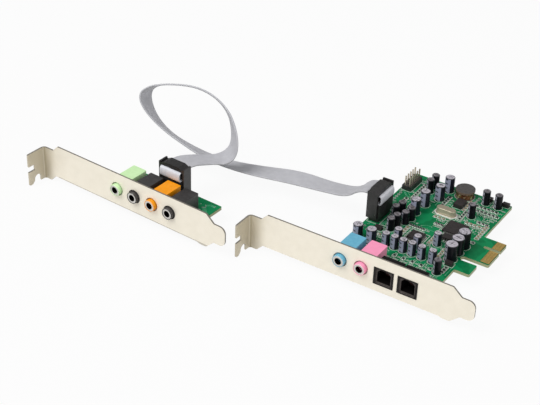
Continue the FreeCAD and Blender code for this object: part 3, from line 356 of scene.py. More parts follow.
def bent_sheet(tree, tone):
    """Plating with painted shade on the tabs and round their bends, and dark cut edges that are partly
    painted shade.

    A thin painted shade line runs along the second bracket's lower edge, so it is dark from the front too.
    """
    ways = facing(tree)
    across = maths(tree, "ABSOLUTE", ways[0])
    edge = ranged(tree, maths(tree, "ABSOLUTE", ways[2]), *EDGE_RAMP)
    along = axis_place(tree, 0)
    # Painted shade: on the tabs, on the bends' faces, and fading along the face past each bend
    into_bend = ranged(tree, across, *INTO_BEND)
    out_of_bend = ranged(tree, across, *OUT_OF_BEND)
    bend_shade = maths(tree, "MINIMUM", into_bend, out_of_bend)
    bend_shade = maths(tree, "MAXIMUM", bend_shade, ranged(tree, across, *TAB_RAMP))
    for name in ("main_bracket", "aux_bracket"):
        low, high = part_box(name)
        at_foot = maths(tree, "COMPARE", along, high.x, FOOT_END)
        end_face = maths(tree, "MULTIPLY", at_foot, ranged(tree, ways[0], *HALF_RAMP))
        edge = maths(tree, "MAXIMUM", edge, end_face)
        after_tab = maths(tree, "GREATER_THAN", along, low.x)
        shade_fade = ranged(tree, along, low.x + BEND_START, low.x + BEND_SHADE_REACH, TAB_SHADE_SHARE, 0)
        bend_shade = maths(tree, "MAXIMUM", bend_shade, maths(tree, "MULTIPLY", after_tab, shade_fade))
    # A thin painted shade line along the second bracket's lower edge
    low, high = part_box("aux_bracket")
    past_bend = maths(tree, "GREATER_THAN", along, low.x + BEND_SHADE_REACH)
    before_end = maths(tree, "LESS_THAN", along, high.x)
    lowest = maths(tree, "LESS_THAN", axis_place(tree, 2), HOME.z + LOWER_SHADE_LINE)
    shade_line = maths(tree, "MULTIPLY", past_bend, maths(tree, "MULTIPLY", before_end, lowest))
    shade_line = maths(tree, "MULTIPLY", shade_line, LOWER_SHADE_SHARE)
    # The painted shade goes in first, then the cut edges and the painted shade line
    shaded_tone = mixed(tree, bend_shade, tone, TAB_SHADE_PAINT)
    return mixed(tree, maths(tree, "MAXIMUM", edge, shade_line), shaded_tone, CUT_EDGE_AND_SHADE)


def painted_front_highlight(tree, tone):
    """A coloured jack barrel with a painted pale highlight on its front face."""
    front = ranged(tree, facing(tree)[1], *FRONT_RAMP)
    return mixed(tree, front, tone, FRONT_HIGHLIGHT_PAINT)


def sleeve_face(tree, tone):
    """A plated sleeve that is bright at its front, with painted shade darkening its inside."""
    level = maths(tree, "ABSOLUTE", facing(tree)[1])
    return mixed(tree, ranged(tree, level, *SLEEVE_RAMP), SLEEVE_INSIDE_SHADE, tone)


def socket_face(tree, tone):
    """An optical socket with a painted shadow as a black rim at its front, a greyer step inside it and
    painted shade darkening its deep recess.
    """
    depth = axis_place(tree, 1)
    step = maths(tree, "LESS_THAN", depth, HOME.y + SOCKET_STEP)
    rim = maths(tree, "LESS_THAN", depth, HOME.y)
    stepped = mixed(tree, step, SOCKET_RECESS_SHADE, tone)
    # The front rim gets the painted gap shadow
    return mixed(tree, maths(tree, "MULTIPLY", rim, GAP_SHADOW_SHARE), stepped, SOCKET_GAP_SHADOW)


def board_colour(tree, tone):
    """Solder mask over copper areas on the faces, and bare laminate on the cut edges."""
    copper = ranged(tree, noise(tree, COPPER_AREA, detail=1.0), *COPPER_RAMP)
    face = mixed(tree, copper, tone, COVERED_COPPER)
    level = maths(tree, "ABSOLUTE", facing(tree)[2])
    return mixed(tree, ranged(tree, level, *HALF_RAMP), CUT_LAMINATE, face)


def striped(way, end, pale):
    """A pale band with dark dashes down one side of an upright sleeve, on the side facing the given way: a
    polarity stripe that is also a painted highlight, or on the dark sleeves only a painted highlight.
    """
    def colour(tree, tone):
        x, y, z = facing(tree)[0:3]
        near = maths(tree, "ADD", maths(tree, "MULTIPLY", x, way[0]), maths(tree, "MULTIPLY", y, way[1]))
        stripe = ranged(tree, near, end, end + STRIPE_EDGE, 0, 1)
        wave = maths(tree, "SINE", maths(tree, "MULTIPLY", axis_place(tree, 2), DASH_WAVE))
        row = ranged(tree, wave, *DASH_ROW)
        column = ranged(tree, near, *DASH_COLUMN)
        dash = maths(tree, "MULTIPLY", row, column)
        with_stripe = mixed(tree, stripe, tone, pale)
        marked = mixed(tree, dash, with_stripe, DASH_INK)
        return mixed(tree, ranged(tree, z, *LIP_RAMP), marked, SLEEVE_LIP)
    return colour


def wound(tree, tone):
    """Turns of enamelled wire, one over another, with painted shade between the turns and painted glints on
    them.
    """
    wave = maths(tree, "SINE", maths(tree, "MULTIPLY", axis_place(tree, 2), WIRE_WAVE))
    turns = mixed(tree, ranged(tree, wave, *WIRE_RAMP), WIRE_SHADE, tone)
    glint = ranged(tree, noise(tree, WIRE_GLINT, detail=1.0), *GLINT_RAMP)
    return mixed(tree, glint, turns, WIRE_GLINT_PAINT)


def capped(tree, tone):
    """A crystal's can, made browner on its flat top by painted shade."""
    upward = ranged(tree, facing(tree)[2], *TOP_RAMP)
    return mixed(tree, upward, tone, CRYSTAL_TOP_SHADE)


def rimmed(tree, tone):
    """A drum core whose rims carry a painted highlight, browner and paler than its flat faces."""
    level = maths(tree, "ABSOLUTE", facing(tree)[2])
    return mixed(tree, ranged(tree, level, *CORE_RAMP), CORE_RIM_HIGHLIGHT, tone)


def scored(tree, tone):
    """A can's drawn top, darker at its turned-down rim and in its stamped marks."""
    marks = ranged(tree, noise(tree, STAMPED_MARK, detail=1.0), *STAMP_RAMP)
    marked = mixed(tree, marks, tone, STAMP_SHADE)
    level = ranged(tree, facing(tree)[2], *CAN_RAMP)
    return mixed(tree, level, CAN_RIM, marked)


FINISHES = {
    "bracket": finish(
        "bracket_plating", ((0.95, 0.89, 0.76), (0.92, 0.86, 0.73)), (0.36, 0.44), 0.0008, 0.000002,
        metal=0.25, colour=bent_sheet),
    "board": finish(
        "solder_mask", ((0.001, 0.180, 0.060), (0.001, 0.155, 0.052)), (0.30, 0.42), 0.0004, 0.000004,
        sheen=0.12, colour=board_colour),
    "gold": finish(
        "gold_plating", ((0.68, 0.46, 0.14), (0.60, 0.40, 0.12)), (0.26, 0.38), 0.0004, 0.000002, metal=0.5),
    "blue": finish(
        "blue_moulding", ((0.15, 0.46, 0.63), (0.12, 0.41, 0.58)), (0.30, 0.42), 0.0003, 0.000006,
        colour=painted_front_highlight),
    "pink": finish(
        "pink_moulding", ((0.98, 0.34, 0.53), (0.94, 0.32, 0.50)), (0.30, 0.42), 0.0003, 0.000006,
        sheen=0.3, colour=painted_front_highlight),
    "green": finish(
        "green_moulding", ((0.64, 0.91, 0.50), (0.59, 0.86, 0.46)), (0.30, 0.42), 0.0003, 0.000006,
        sheen=0.3, colour=painted_front_highlight),
    "orange": finish(
        "orange_moulding", ((0.96, 0.345, 0.004), (0.90, 0.32, 0.004)), (0.30, 0.42), 0.0003, 0.000006,
        sheen=0.3, colour=painted_front_highlight),
    "black": finish(
        "black_moulding", ((0.042, 0.039, 0.039), (0.030, 0.028, 0.028)), (0.32, 0.45), 0.0003, 0.000006),
    "plug": finish(
        "plug_moulding", ((0.022, 0.021, 0.021), (0.014, 0.013, 0.013)), (0.30, 0.42), 0.0003, 0.000006),
    "shell": finish(
        "socket_moulding", ((0.110, 0.096, 0.090), (0.085, 0.074, 0.069)), (0.34, 0.46), 0.0003, 0.000006,
        sheen=0.1, colour=socket_face),
    "plated": finish(
        "nickel_plating", ((0.68, 0.66, 0.62), (0.56, 0.54, 0.50)), (0.20, 0.30), 0.0005, 0.000002,
        metal=0.9, colour=sleeve_face),
    "tinned": finish(
        "tin_plating", ((0.70, 0.69, 0.67), (0.58, 0.57, 0.55)), (0.26, 0.40), 0.0002, 0.000006, metal=0.9),
    "guide": finish(
        "light_guide", ((0.030, 0.008, 0.008), (0.020, 0.005, 0.005)), (0.10, 0.18), 0.0004, 0.000002,
        sheen=0.3),
    "ribbon": finish(
        "ribbon_sheath", ((0.53, 0.53, 0.56), (0.49, 0.49, 0.52)), (0.38, 0.50), 0.0005, 0.000003, sheen=0.3),
    # The folds are a paler copy of the ribbon, painted as if fully lit
    "fold": finish(
        "lit_ribbon_fold", ((0.72, 0.73, 0.78), (0.66, 0.67, 0.72)), (0.36, 0.48), 0.0005, 0.000003, sheen=0.4),
    "top": finish(
        "can_top", ((0.66, 0.63, 0.69), (0.46, 0.43, 0.48)), (0.32, 0.44), 0.0003, 0.000004,
        metal=0.3, colour=scored),
    "dark_top": finish(
        "dark_can_top", ((0.30, 0.28, 0.30), (0.12, 0.11, 0.12)), (0.32, 0.44), 0.0003, 0.000004,
        metal=0.3, colour=scored),
    "small_sleeve": finish(
        "striped_sleeve", ((0.010, 0.012, 0.022), (0.006, 0.007, 0.012)), (0.22, 0.32), 0.0005, 0.000004,
        sheen=0.25, colour=striped(STRIPE_WAY, STRIPE_END, LAVENDER_STRIPE_AND_HIGHLIGHT)),
    "dark_sleeve": finish(
        "dark_sleeve", ((0.007, 0.007, 0.010), (0.004, 0.004, 0.006)), (0.22, 0.32), 0.0005, 0.000004,
        sheen=0.12, colour=striped(DARK_HIGHLIGHT_WAY, DARK_HIGHLIGHT_END, DARK_SLEEVE_HIGHLIGHT)),
    "chip": finish(
        "chip_moulding", ((0.034, 0.028, 0.028), (0.026, 0.021, 0.021)), (0.40, 0.55), 0.0002, 0.000008,
        sheen=0.3),
    "crystal": finish(
        "crystal_can", ((0.56, 0.51, 0.38), (0.48, 0.44, 0.32)), (0.26, 0.38), 0.0006, 0.000003,
        metal=0.4, colour=capped),
    # The flange's near-white tone is a painted highlight
    "flange": finish(
        "crystal_flange", ((0.92, 0.90, 0.86), (0.82, 0.80, 0.76)), (0.30, 0.42), 0.0005, 0.000002,
        metal=0.2),
    "ferrite": finish(
        "ferrite", ((0.080, 0.074, 0.070), (0.055, 0.051, 0.049)), (0.40, 0.55), 0.0002, 0.000012,
        colour=rimmed),
    "copper": finish(
        "enamelled_wire", ((0.42, 0.17, 0.06), (0.34, 0.13, 0.045)), (0.20, 0.30), 0.0004, 0.000004,
        metal=0.6, coat=0.4, colour=wound),
    "ceramic": finish(
        "fired_ceramic", ((0.40, 0.30, 0.20), (0.34, 0.25, 0.16)), (0.40, 0.55), 0.0002, 0.000006),
    "resistor": finish(
        "resistor_glaze", ((0.020, 0.020, 0.022), (0.014, 0.014, 0.015)), (0.30, 0.42), 0.0002, 0.000006),
    "silk": finish(
        "silk_ink", ((0.80, 0.82, 0.76), (0.68, 0.72, 0.65)), (0.45, 0.60), 0.0003, 0.000004),
    "track": finish(
        "covered_track", ((0.160, 0.480, 0.290), (0.090, 0.400, 0.210)), (0.30, 0.42), 0.0004, 0.000004,
        sheen=0.2),
    "laminate": finish(
        "bare_laminate", ((0.46, 0.36, 0.13), (0.40, 0.31, 0.11)), (0.40, 0.55), 0.0003, 0.000004, sheen=0.2),
    "pin": finish(
        "header_pin", ((0.62, 0.55, 0.44), (0.52, 0.46, 0.36)), (0.26, 0.38), 0.0003, 0.000002, metal=0.8),
}

NODE_FINISHES = [
    ("_bracket", "bracket"), ("_board", "board"), ("edge_contacts", "gold"), ("line_in_jack", "blue"),
    ("microphone_jack", "pink"), ("front_jack", "green"), ("centre_jack", "orange"), ("side_jack", "black"),
    ("rear_jack", "black"), ("jack_sleeves", "plated"), ("jack_springs", "tinned"), ("light_guides", "guide"),
    ("optical_", "shell"), ("header_pins", "pin"), ("ribbon", "ribbon"), ("_plug_", "plug"),
    ("header_base", "plug"), ("dark_capacitor_cans", "dark_top"), ("slim_capacitor_cans", "dark_top"),
    ("capacitor_cans", "top"), ("small_capacitor_sleeves", "small_sleeve"),
    ("tall_capacitor_sleeves", "small_sleeve"), ("capacitor_sleeves", "dark_sleeve"), ("leads", "tinned"),
    ("terminals", "tinned"), ("rivets", "tinned"), ("solder", "tinned"), ("crystal", "crystal"),
    ("coil_core", "ferrite"), ("coil_winding", "copper"), ("ceramics", "ceramic"), ("resistors", "resistor"),
    ("", "chip")]


def dress_nodes():
    """Gives each solid of the frame its finish."""
    for name, node in NODES.items():
        chosen = next(kind for key, kind in NODE_FINISHES if key in name)
        node.data.materials.clear()
        node.data.materials.append(FINISHES[chosen])


def add_piece(name, points, faces, kind, smooth=False):
    """A new mesh that rides with the object."""
    data = bpy.data.meshes.new(name)
    data.from_pydata([tuple(p) for p in points], [], faces)
    data.materials.append(FINISHES[kind])
    if smooth:
        data.shade_smooth()
    piece = bpy.data.objects.new(name, data)
    bpy.context.scene.collection.objects.link(piece)
    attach(piece, "root")
    return piece


def make_camera():
    """The camera that took the photograph."""
    data = bpy.data.cameras.new("camera")
    data.sensor_width = SENSOR_WIDTH
    data.lens = FOCAL_PIXELS * SENSOR_WIDTH / PHOTO_WIDTH
    camera = bpy.data.objects.new("camera", data)
    turn = Matrix((CAMERA_RIGHT, -CAMERA_DOWN, -CAMERA_AHEAD)).transposed().to_4x4()
    camera.matrix_world = Matrix.Translation(CAMERA_PLACE) @ turn
    bpy.context.scene.collection.objects.link(camera)
    bpy.context.scene.camera = camera


def smooth_line(points):
    """Points along the smooth curve that has these as its control points."""
    data = bpy.data.curves.new("guide", "CURVE")
    data.dimensions = "3D"
    data.resolution_u = LINE_STEPS
    spline = data.splines.new("NURBS")
    spline.points.add(len(points) - 1)
    for point, place in zip(spline.points, points):
        point.co = (*place, 1.0)
    spline.order_u = LINE_ORDER
    spline.use_endpoint_u = True
    guide = bpy.data.objects.new("guide", data)
    drawn = bpy.data.meshes.new_from_object(guide)
    line = [vertex.co.copy() for vertex in drawn.vertices]
    bpy.data.objects.remove(guide)
    bpy.data.curves.remove(data)
    bpy.data.meshes.remove(drawn)
    return line


def ribbon_profile():
    """The ribbon's outline across its width: a row of round ways with thin webs between them."""
    radius = RIBBON_THICK / 2
    upper = []
    for way in range(RIBBON_WAYS):
        middle = (way - (RIBBON_WAYS - 1) / 2) * WAY_PITCH
        for share in WAY_POINTS:
            offset = share * WAY_PITCH / 2
            height = math.sqrt(max(radius ** 2 - offset ** 2, (RIBBON_WEB / 2) ** 2))
            upper.append((middle + offset, height))
    upper.append((RIBBON_WAYS / 2 * WAY_PITCH, RIBBON_WEB / 2))
    lower = [(across, -height) for across, height in reversed(upper)]
    return upper + lower


def ribbed_strip(name, points, sides, kind):
    """A length of ribbon along control points, each with the way its near edge lies."""
    centres = smooth_line(points)
    edges = smooth_line([p + s.normalized() * WAY_PITCH for p, s in zip(points, sides)])
    profile = ribbon_profile()
    count = len(profile)
    verts, faces = [], []
    for i, centre in enumerate(centres):
        way = (centres[min(i + 1, len(centres) - 1)] - centres[max(i - 1, 0)]).normalized()
        across = edges[i] - centre
        across = (across - way * across.dot(way)).normalized()
        face = way.cross(across)
        verts += [centre + across * a + face * h for a, h in profile]
        if i:
            base = (i - 1) * count
            for j in range(count):
                k = (j + 1) % count
                faces.append((base + j, base + k, base + count + k, base + count + j))
    faces.append(tuple(reversed(range(count))))
    faces.append(tuple(range(len(verts) - count, len(verts))))
    return add_piece(name, verts, faces, kind, smooth=True), centres


def plug_place(half, plan, turn):
    """Where a plug's own zero stands, on a half's board."""
    return half @ Matrix.Translation((*plan, BOARD_TOP)) @ Matrix.Rotation(turn, 4, "Z")


def folded_end(name, place):
    """The ribbon's end in a plug: in under the cover, round its front and back over it. Its finish is a paler
    copy of the ribbon's, painted as if fully lit.
    """
    radius = (COVER_THICK + RIBBON_THICK) / 2
    low = SOCKET_TOP + RIBBON_THICK / 2
    high = low + 2 * radius
    turn = radius + RIBBON_THICK / 2 - PLUG_DEPTH / 2 - FOLD_PROUD
    line = [
        (PLUG_DEPTH / 2 - RIBBON_BURIED, low), (turn, low), (turn - radius, low), (turn - radius, high),
        (turn, high), (PLUG_DEPTH / 2 + RIBBON_EXIT, high)]
    points = [place @ Vector((0, depth, height)) for depth, height in line]
    side = place.to_3x3() @ Vector((1, 0, 0))
    return ribbed_strip(name, points, [side] * len(points), "fold")[0]


def make_ribbon():
    """The free ribbon between the two plugs, and its folded ends."""
    main = plug_place(MAIN_HALF, MAIN_PLUG, math.pi / 2)
    aux = plug_place(AUX_HALF, AUX_PLUG, 0)
    leave = Vector((0, PLUG_DEPTH / 2 + RIBBON_EXIT, SOCKET_TOP + COVER_THICK + 1.5 * RIBBON_THICK))
    ahead = Vector((0, RIBBON_LEAD, 0))
    points = [aux @ leave, aux @ (leave + ahead)]
    points += [MAIN_HALF @ Vector(point) for point, near in ROUTE]
    points += [main @ (leave + ahead), main @ leave]
    aux_side = aux.to_3x3() @ Vector((1, 0, 0))
    main_side = main.to_3x3() @ Vector((-1, 0, 0))
    sides = [aux_side] * 2 + [Vector(near) for point, near in ROUTE] + [main_side] * 2
    cable, centres = ribbed_strip("grey_ribbon", points, sides, "ribbon")
    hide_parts("ribbon_cable")
    ends = [folded_end("main_ribbon_fold", main), folded_end("aux_ribbon_fold", aux)]
    for end, node in zip(ends, ("main_plug_ribbon_end", "aux_plug_ribbon_end")):
        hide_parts(node)


def islands(name, half):
    """The plan box of each separate solid in a node, on its half."""
    mesh = bmesh.new()
    mesh.from_mesh(NODES[name].data)
    bmesh.ops.remove_doubles(mesh, verts=mesh.verts, dist=WELD)
    back = half.inverted()
    seen, boxes = set(), []
    for first in mesh.verts:
        if first in seen:
            continue
        seen.add(first)
        group = [first]
        for vert in group:
            others = [edge.other_vert(vert) for edge in vert.link_edges]
            fresh = [other for other in others if other not in seen]
            seen.update(fresh)
            group += fresh
        places = [back @ vert.co for vert in group]
        xs = [place.x for place in places]
        ys = [place.y for place in places]
        boxes.append((min(xs), min(ys), max(xs), max(ys)))
    mesh.free()
    return sorted(boxes)


def grown(box, margin):
    """A plan box made larger all round."""
    return (box[0] - margin, box[1] - margin, box[2] + margin, box[3] + margin)


def middle(box):
    """The centre of a plan box."""
    return (box[0] + box[2]) / 2, (box[1] + box[3]) / 2


def overlaps(first, second):
    """Whether two plan boxes share any area."""
    apart_x = first[2] < second[0] or second[2] < first[0]
    apart_y = first[3] < second[1] or second[3] < first[1]
    return not (apart_x or apart_y)


def inside(box, area):
    """Whether a plan box lies wholly in an area."""
    return area[0] <= box[0] and area[1] <= box[1] and box[2] <= area[2] and box[3] <= area[3]


def new_sheet(half, area, lift, under=False):
    """An empty printed layer, just off the upper or lower face of a half's board."""
    level = BOARD_UNDER - lift if under else BOARD_TOP + lift
    return {"half": half, "area": area, "level": level, "under": under, "points": [], "faces": []}


def patch(sheet, corners):
    """A flat printed patch with these plan corners, in turn from the left."""
    base = len(sheet["points"])
    sheet["points"] += [sheet["half"] @ Vector((x, y, sheet["level"])) for x, y in corners]
    face = list(range(base, base + len(corners)))
    if sheet["under"]:
        face.reverse()
    sheet["faces"].append(face)


def filled(sheet, box):
    """A printed rectangle."""
    x0, y0, x1, y1 = box
    patch(sheet, [(x0, y0), (x1, y0), (x1, y1), (x0, y1)])


def stroke(sheet, line, width):
    """A printed line through plan points, with square ends."""
    for (x0, y0), (x1, y1) in zip(line, line[1:]):
        scale = width / 2 / math.hypot(x1 - x0, y1 - y0)
        a, b = (x1 - x0) * scale, (y1 - y0) * scale
        patch(sheet, [
            (x0 - a + b, y0 - b - a), (x1 + a + b, y1 + b - a),
            (x1 + a - b, y1 + b + a), (x0 - a - b, y0 - b + a)])


def ring(sheet, centre, inner, outer, start=0.0, turn=math.tau, steps=20):
    """A printed ring, or the part of one from an angle through a turn."""
    x, y = centre
    angles = [start + turn * i / steps for i in range(steps + 1)]
    ways = [(math.cos(angle), math.sin(angle)) for angle in angles]
    for (c0, s0), (c1, s1) in zip(ways, ways[1:]):
        patch(sheet, [
            (x + c0 * inner, y + s0 * inner), (x + c0 * outer, y + s0 * outer),
            (x + c1 * outer, y + s1 * outer), (x + c1 * inner, y + s1 * inner)])


def outline(sheet, box, margin):
    """A printed frame round a component, kept on the board."""
    low_x, low_y, high_x, high_y = sheet["area"]
    x0, y0, x1, y1 = grown(box, margin)
    x0, x1 = max(x0, low_x), min(x1, high_x)
    y0, y1 = max(y0, low_y), min(y1, high_y)
    stroke(sheet, [(x0, y0), (x1, y0), (x1, y1), (x0, y1), (x0, y0)], SILK_LINE)


def label(sheet, text, place, clear_of):
    """A component's printed figures, left out where they would lie on something or off the board."""
    x, y = place
    room = (x, y, x + (len(text) * FIGURE_STEP - FIGURE_GAP) * FIGURE_SIZE, y + 2 * FIGURE_SIZE)
    if any(overlaps(room, box) for box in clear_of) or not inside(room, sheet["area"]):
        return
    for i, figure in enumerate(text):
        for key in FIGURES[figure]:
            ends = [(x + (u + FIGURE_STEP * i) * FIGURE_SIZE, y + v * FIGURE_SIZE) for u, v in STROKES[key]]
            stroke(sheet, ends, FIGURE_LINE)


def text_rows(sheet, area, seed, clear_of):
    """Rows of printed figures that fill a plan area."""
    chooser = random.Random(seed)
    y = area[1]
    while y + 2 * FIGURE_SIZE < area[3]:
        x = area[0]
        while x < area[2]:
            word = "".join(chooser.choice("0123456789") for i in range(chooser.randint(*WORD_LENGTHS)))
            label(sheet, word, (x, y), clear_of)
            x += (len(word) + 1) * FIGURE_STEP * FIGURE_SIZE
        y += ROW_STEP * FIGURE_SIZE


def cells_on(start, end):
    """The small plan cells that a straight line passes through."""
    count = int((end - start).length / TRACK_CELL * 2) + 1
    line = [start.lerp(end, i / count) for i in range(count + 1)]
    return {(round(p.x / TRACK_CELL), round(p.y / TRACK_CELL)) for p in line}


def cells_in(box):
    """The small plan cells in a box."""
    x0, y0, x1, y1 = [round(v / TRACK_CELL) for v in box]
    return {(x, y) for x in range(x0, x1 + 1) for y in range(y0, y1 + 1)}


def around(cells):
    """Cells with their neighbours."""
    return {(x + i, y + j) for x, y in cells for i in (-1, 0, 1) for j in (-1, 0, 1)}


def track_lanes(chooser, area):
    """A few parallel tracks with one bend each, as lists of plan points."""
    heading = chooser.randrange(8) * math.pi / 4
    turned = heading + chooser.choice((-1, 1)) * math.pi / 4
    ways = [Vector((math.cos(angle), math.sin(angle))) for angle in (heading, turned)]
    normals = [Vector((-way.y, way.x)) for way in ways]
    mitre = (normals[0] + normals[1]) / (1 + normals[0].dot(normals[1]))
    start = Vector((chooser.uniform(area[0], area[2]), chooser.uniform(area[1], area[3])))
    bend = start + ways[0] * chooser.uniform(*FIRST_LEG)
    end = bend + ways[1] * chooser.uniform(*SECOND_LEG)
    lanes = []
    for i in range(chooser.randint(1, MOST_LANES)):
        shift = i * TRACK_PITCH
        lanes.append([start + normals[0] * shift, bend + mitre * shift, end + normals[1] * shift])
    return lanes


def lay_tracks(name, half, area, clear_of, tries, under=False):
    """Tracks that bend and never cross, each with a ring round a hole at both ends."""
    tracks = new_sheet(half, area, TRACK_LIFT, under)
    rings = new_sheet(half, area, PAD_LIFT, under)
    chooser = random.Random(TRACK_SEEDS[name])
    free = cells_in(area)
    for box in clear_of:
        free -= cells_in(box)
    for i in range(tries):
        lanes = track_lanes(chooser, area)
        cells = set()
        for start, bend, end in lanes:
            cells |= cells_on(start, bend) | cells_on(bend, end)
        if not around(cells) <= free:
            continue
        free -= around(cells)
        for lane in lanes:
            stroke(tracks, lane, TRACK_LINE)
            for place in (lane[0], lane[2]):
                ring(rings, place, VIA_HOLE, VIA_RING, steps=VIA_STEPS)
    print_sheet(name + "_tracks", tracks, "track")
    print_sheet(name + "_vias", rings, "tinned")


def print_sheet(name, sheet, kind):
    """A printed layer as one piece."""
    add_piece(name, sheet["points"], sheet["faces"], kind)


def solder_rings(name, half, area):
    """A ring of bare copper round each solder joint under a board."""
    rings = new_sheet(half, area, PAD_LIFT, under=True)
    joints = [box for box in islands("solder", half) if overlaps(box, area)]
    for box in joints:
        radius = (box[2] - box[0]) / 2
        ring(rings, middle(box), radius, radius * JOINT_RING, steps=JOINT_STEPS)
    print_sheet(name + "_joint_rings", rings, "tinned")
    return [grown(box, VIA_RING) for box in joints]


def racetrack(box):
    """Plan points round a box with half-round ends, its long way in x."""
    x0, y0, x1, y1 = box
    radius = (y1 - y0) / 2
    points = []
    for x, start in ((x1 - radius, -math.pi / 2), (x0 + radius, math.pi / 2)):
        for i in range(FLANGE_STEPS + 1):
            angle = start + math.pi * i / FLANGE_STEPS
            points.append((x + math.cos(angle) * radius, y0 + radius + math.sin(angle) * radius))
    return points


def add_crystal_flange():
    """The flange round the foot of the crystal's can, let into the can's wall. Its near-white finish is a
    painted highlight.
    """
    box = islands("crystal", MAIN_HALF)[0]
    inner = racetrack(grown(box, -FLANGE_BITE))
    outer = racetrack(grown(box, FLANGE_REACH))
    top = BOARD_TOP + FLANGE_HEIGHT
    loops = [(inner, BOARD_TOP), (outer, BOARD_TOP), (outer, top), (inner, top)]
    points = [MAIN_HALF @ Vector((x, y, level)) for loop, level in loops for x, y in loop]
    count = len(inner)
    faces = []
    for i in range(len(loops)):
        first = i * count
        second = (i + 1) % len(loops) * count
        for j in range(count):
            k = (j + 1) % count
            faces.append((first + j, first + k, second + k, second + j))
    add_piece("crystal_flange", points, faces, "flange")


def print_main_board():
    """The main board's printed frames, figures, pads and tracks."""
    silk = new_sheet(MAIN_HALF, MAIN_AREA, SILK_LIFT)
    pads = new_sheet(MAIN_HALF, MAIN_AREA, PAD_LIFT)
    cases = []
    for kind in ("small", "dark", "slim", "tall", "large"):
        cases += islands(kind + "_capacitor_sleeves", MAIN_HALF)
    for box in cases:
        radius = (box[2] - box[0]) / 2
        inner, outer = [radius + gap for gap in CASE_RING]
        ring(silk, middle(box), inner, outer)
        ring(silk, middle(box), radius, outer, math.pi / 2, math.pi, HALF_RING_STEPS)
    coil = islands("coil_core", MAIN_HALF)
    ring(silk, middle(coil[0]), *COIL_RING, steps=COIL_STEPS)
    chips = []
    for name in ("audio_controller", "codec", "small_chips"):
        chips += islands(name, MAIN_HALF)
    for box in chips:
        outline(silk, box, CHIP_MARGIN)
        ring(silk, (box[0] - DOT_LEFT, box[1] - DOT_BELOW), 0, DOT_RADIUS, steps=DOT_STEPS)
    others = []
    for name in ("regulator", "crystal", "power_chokes", "main_plug_socket", "panel_header_base"):
        others += islands(name, MAIN_HALF)
    for box in others:
        outline(silk, box, PART_MARGIN)
    small = islands("chip_resistors", MAIN_HALF) + islands("chip_ceramics", MAIN_HALF)
    for box in small:
        outline(silk, box, SMALL_MARGIN)
    ends = islands("chip_terminals", MAIN_HALF)
    feet = []
    for name in ("audio_controller_leads", "codec_leads", "small_chip_leads"):
        feet += islands(name, MAIN_HALF)
    for box in ends:
        filled(pads, grown(box, END_PAD))
    for box in feet:
        filled(pads, grown(box, FOOT_PAD))
    tall = cases + coil + chips + others
    clear_of = [grown(box, LABEL_CLEAR) for box in tall + small] + PLAIN_AREAS
    for letter, boxes in (("C", cases), ("U", chips), ("J", others), ("L", small)):
        for i, box in enumerate(boxes):
            text = letter + str(i + 1)
            label(silk, text, (box[2] + LABEL_BESIDE, box[1]), clear_of)
            label(silk, text, (box[0], box[1] - LABEL_BELOW), clear_of)
    for i, area in enumerate(TEXT_AREAS):
        text_rows(silk, area, i, clear_of)
    for (x, y), (step_x, step_y), count in PAD_ROWS:
        for i in range(count):
            ring(pads, (x + i * step_x, y + i * step_y), VIA_RING, PAD_RADIUS, steps=PAD_STEPS)
    print_sheet("main_silk_print", silk, "silk")
    print_sheet("main_pads", pads, "tinned")
    bare_contacts()
    lay_tracks("main", MAIN_HALF, MAIN_AREA, PLAIN_AREAS + ends + feet, MAIN_TRIES)
    joints = solder_rings("main", MAIN_HALF, MAIN_AREA)
    lay_tracks("main_under", MAIN_HALF, MAIN_AREA, joints, MAIN_TRIES, under=True)


def bare_contacts():
    """Bare laminate between the edge contacts, on both faces of the tongue."""
    for name, under in (("upper", False), ("lower", True)):
        bare = new_sheet(MAIN_HALF, MAIN_AREA, TRACK_LIFT, under)
        for box in islands("edge_contacts", MAIN_HALF):
            filled(bare, grown(box, BARE_MARGIN))
        print_sheet(name + "_bare_laminate", bare, "laminate")


def print_aux_board():
    """The second board's printed frames and tracks."""
    silk = new_sheet(AUX_HALF, AUX_AREA, SILK_LIFT)
    blocks = islands("aux_plug_socket", AUX_HALF)
    for name in ("front", "side", "centre", "rear"):
        blocks += islands(name + "_jack_housing", AUX_HALF)
    for i, box in enumerate(blocks):
        outline(silk, box, PART_MARGIN)
        label(silk, "J" + str(i + 1), (box[2] + AUX_LABEL_BESIDE, box[3] - AUX_LABEL_BELOW), blocks)
    print_sheet("aux_silk_print", silk, "silk")
    lay_tracks("aux", AUX_HALF, AUX_AREA, [], AUX_TRIES)
    joints = solder_rings("aux", AUX_HALF, AUX_AREA)
    lay_tracks("aux_under", AUX_HALF, AUX_AREA, joints, AUX_TRIES, under=True)


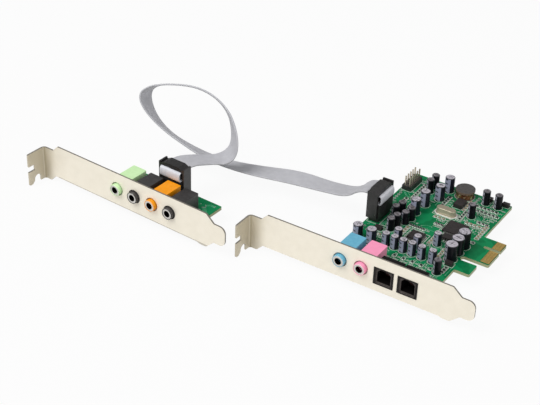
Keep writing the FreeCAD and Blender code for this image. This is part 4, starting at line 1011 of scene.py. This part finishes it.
def lit_floor():
    """A pale floor that the camera sees as nearly white, with the object's soft shadow on it."""
    made = bpy.data.materials.new("pale_floor")
    made.use_nodes = True
    tree = made.node_tree
    tree.nodes.clear()
    seen = add_node(tree, "LightPath", {}).outputs
    watched = maths(tree, "MAXIMUM", seen["Is Camera Ray"], seen["Is Glossy Ray"])
    watched = maths(tree, "MAXIMUM", watched, seen["Is Transmission Ray"])
    matt = add_node(tree, "BsdfDiffuse", {"Color": opaque(FLOOR_GREY)}).outputs[0]
    glow = add_node(tree, "Emission", {"Color": opaque(WHITE), "Strength": 1.0}).outputs[0]
    share = maths(tree, "MULTIPLY", watched, FLOOR_GLOW)
    both = add_node(tree, "MixShader", {0: share, 1: matt, 2: glow}).outputs[0]
    add_node(tree, "OutputMaterial", {"Surface": both})
    return made


def make_stage():
    """The floor, the world's light and the lamps."""
    data = bpy.data.meshes.new("floor")
    signs = ((-1, -1), (1, -1), (1, 1), (-1, 1))
    corners = [(x * FLOOR_HALF, y * FLOOR_HALF, -FLOOR_DROP) for x, y in signs]
    data.from_pydata(corners, [], [(0, 1, 2, 3)])
    data.materials.append(lit_floor())
    floor = bpy.data.objects.new("floor", data)
    bpy.context.scene.collection.objects.link(floor)
    world = bpy.data.worlds.new("studio")
    world.use_nodes = True
    tree = world.node_tree
    watched = add_node(tree, "LightPath", {}).outputs["Is Camera Ray"]
    back = tree.nodes["Background"]
    back.inputs["Color"].default_value = opaque(WHITE)
    tree.links.new(ranged(tree, watched, 0, 1, WORLD_LIGHT, 1.0), back.inputs["Strength"])
    bpy.context.scene.world = world
    for name, (place, size, power) in LAMPS.items():
        add_lamp(name, place, size, power)


def add_lamp(name, place, size, power):
    """A square soft lamp that faces the object's middle."""
    data = bpy.data.lights.new(name, "AREA")
    data.size = size
    data.energy = power
    lamp = bpy.data.objects.new(name, data)
    lamp.location = place
    lamp.rotation_mode = "QUATERNION"
    lamp.rotation_quaternion = (-Vector(place)).to_track_quat("-Z", "Y")
    bpy.context.scene.collection.objects.link(lamp)


make_camera()
make_ribbon()
dress_nodes()
print_main_board()
print_aux_board()
add_crystal_flange()
make_stage()
bpy.context.scene.view_settings.view_transform = "Standard"
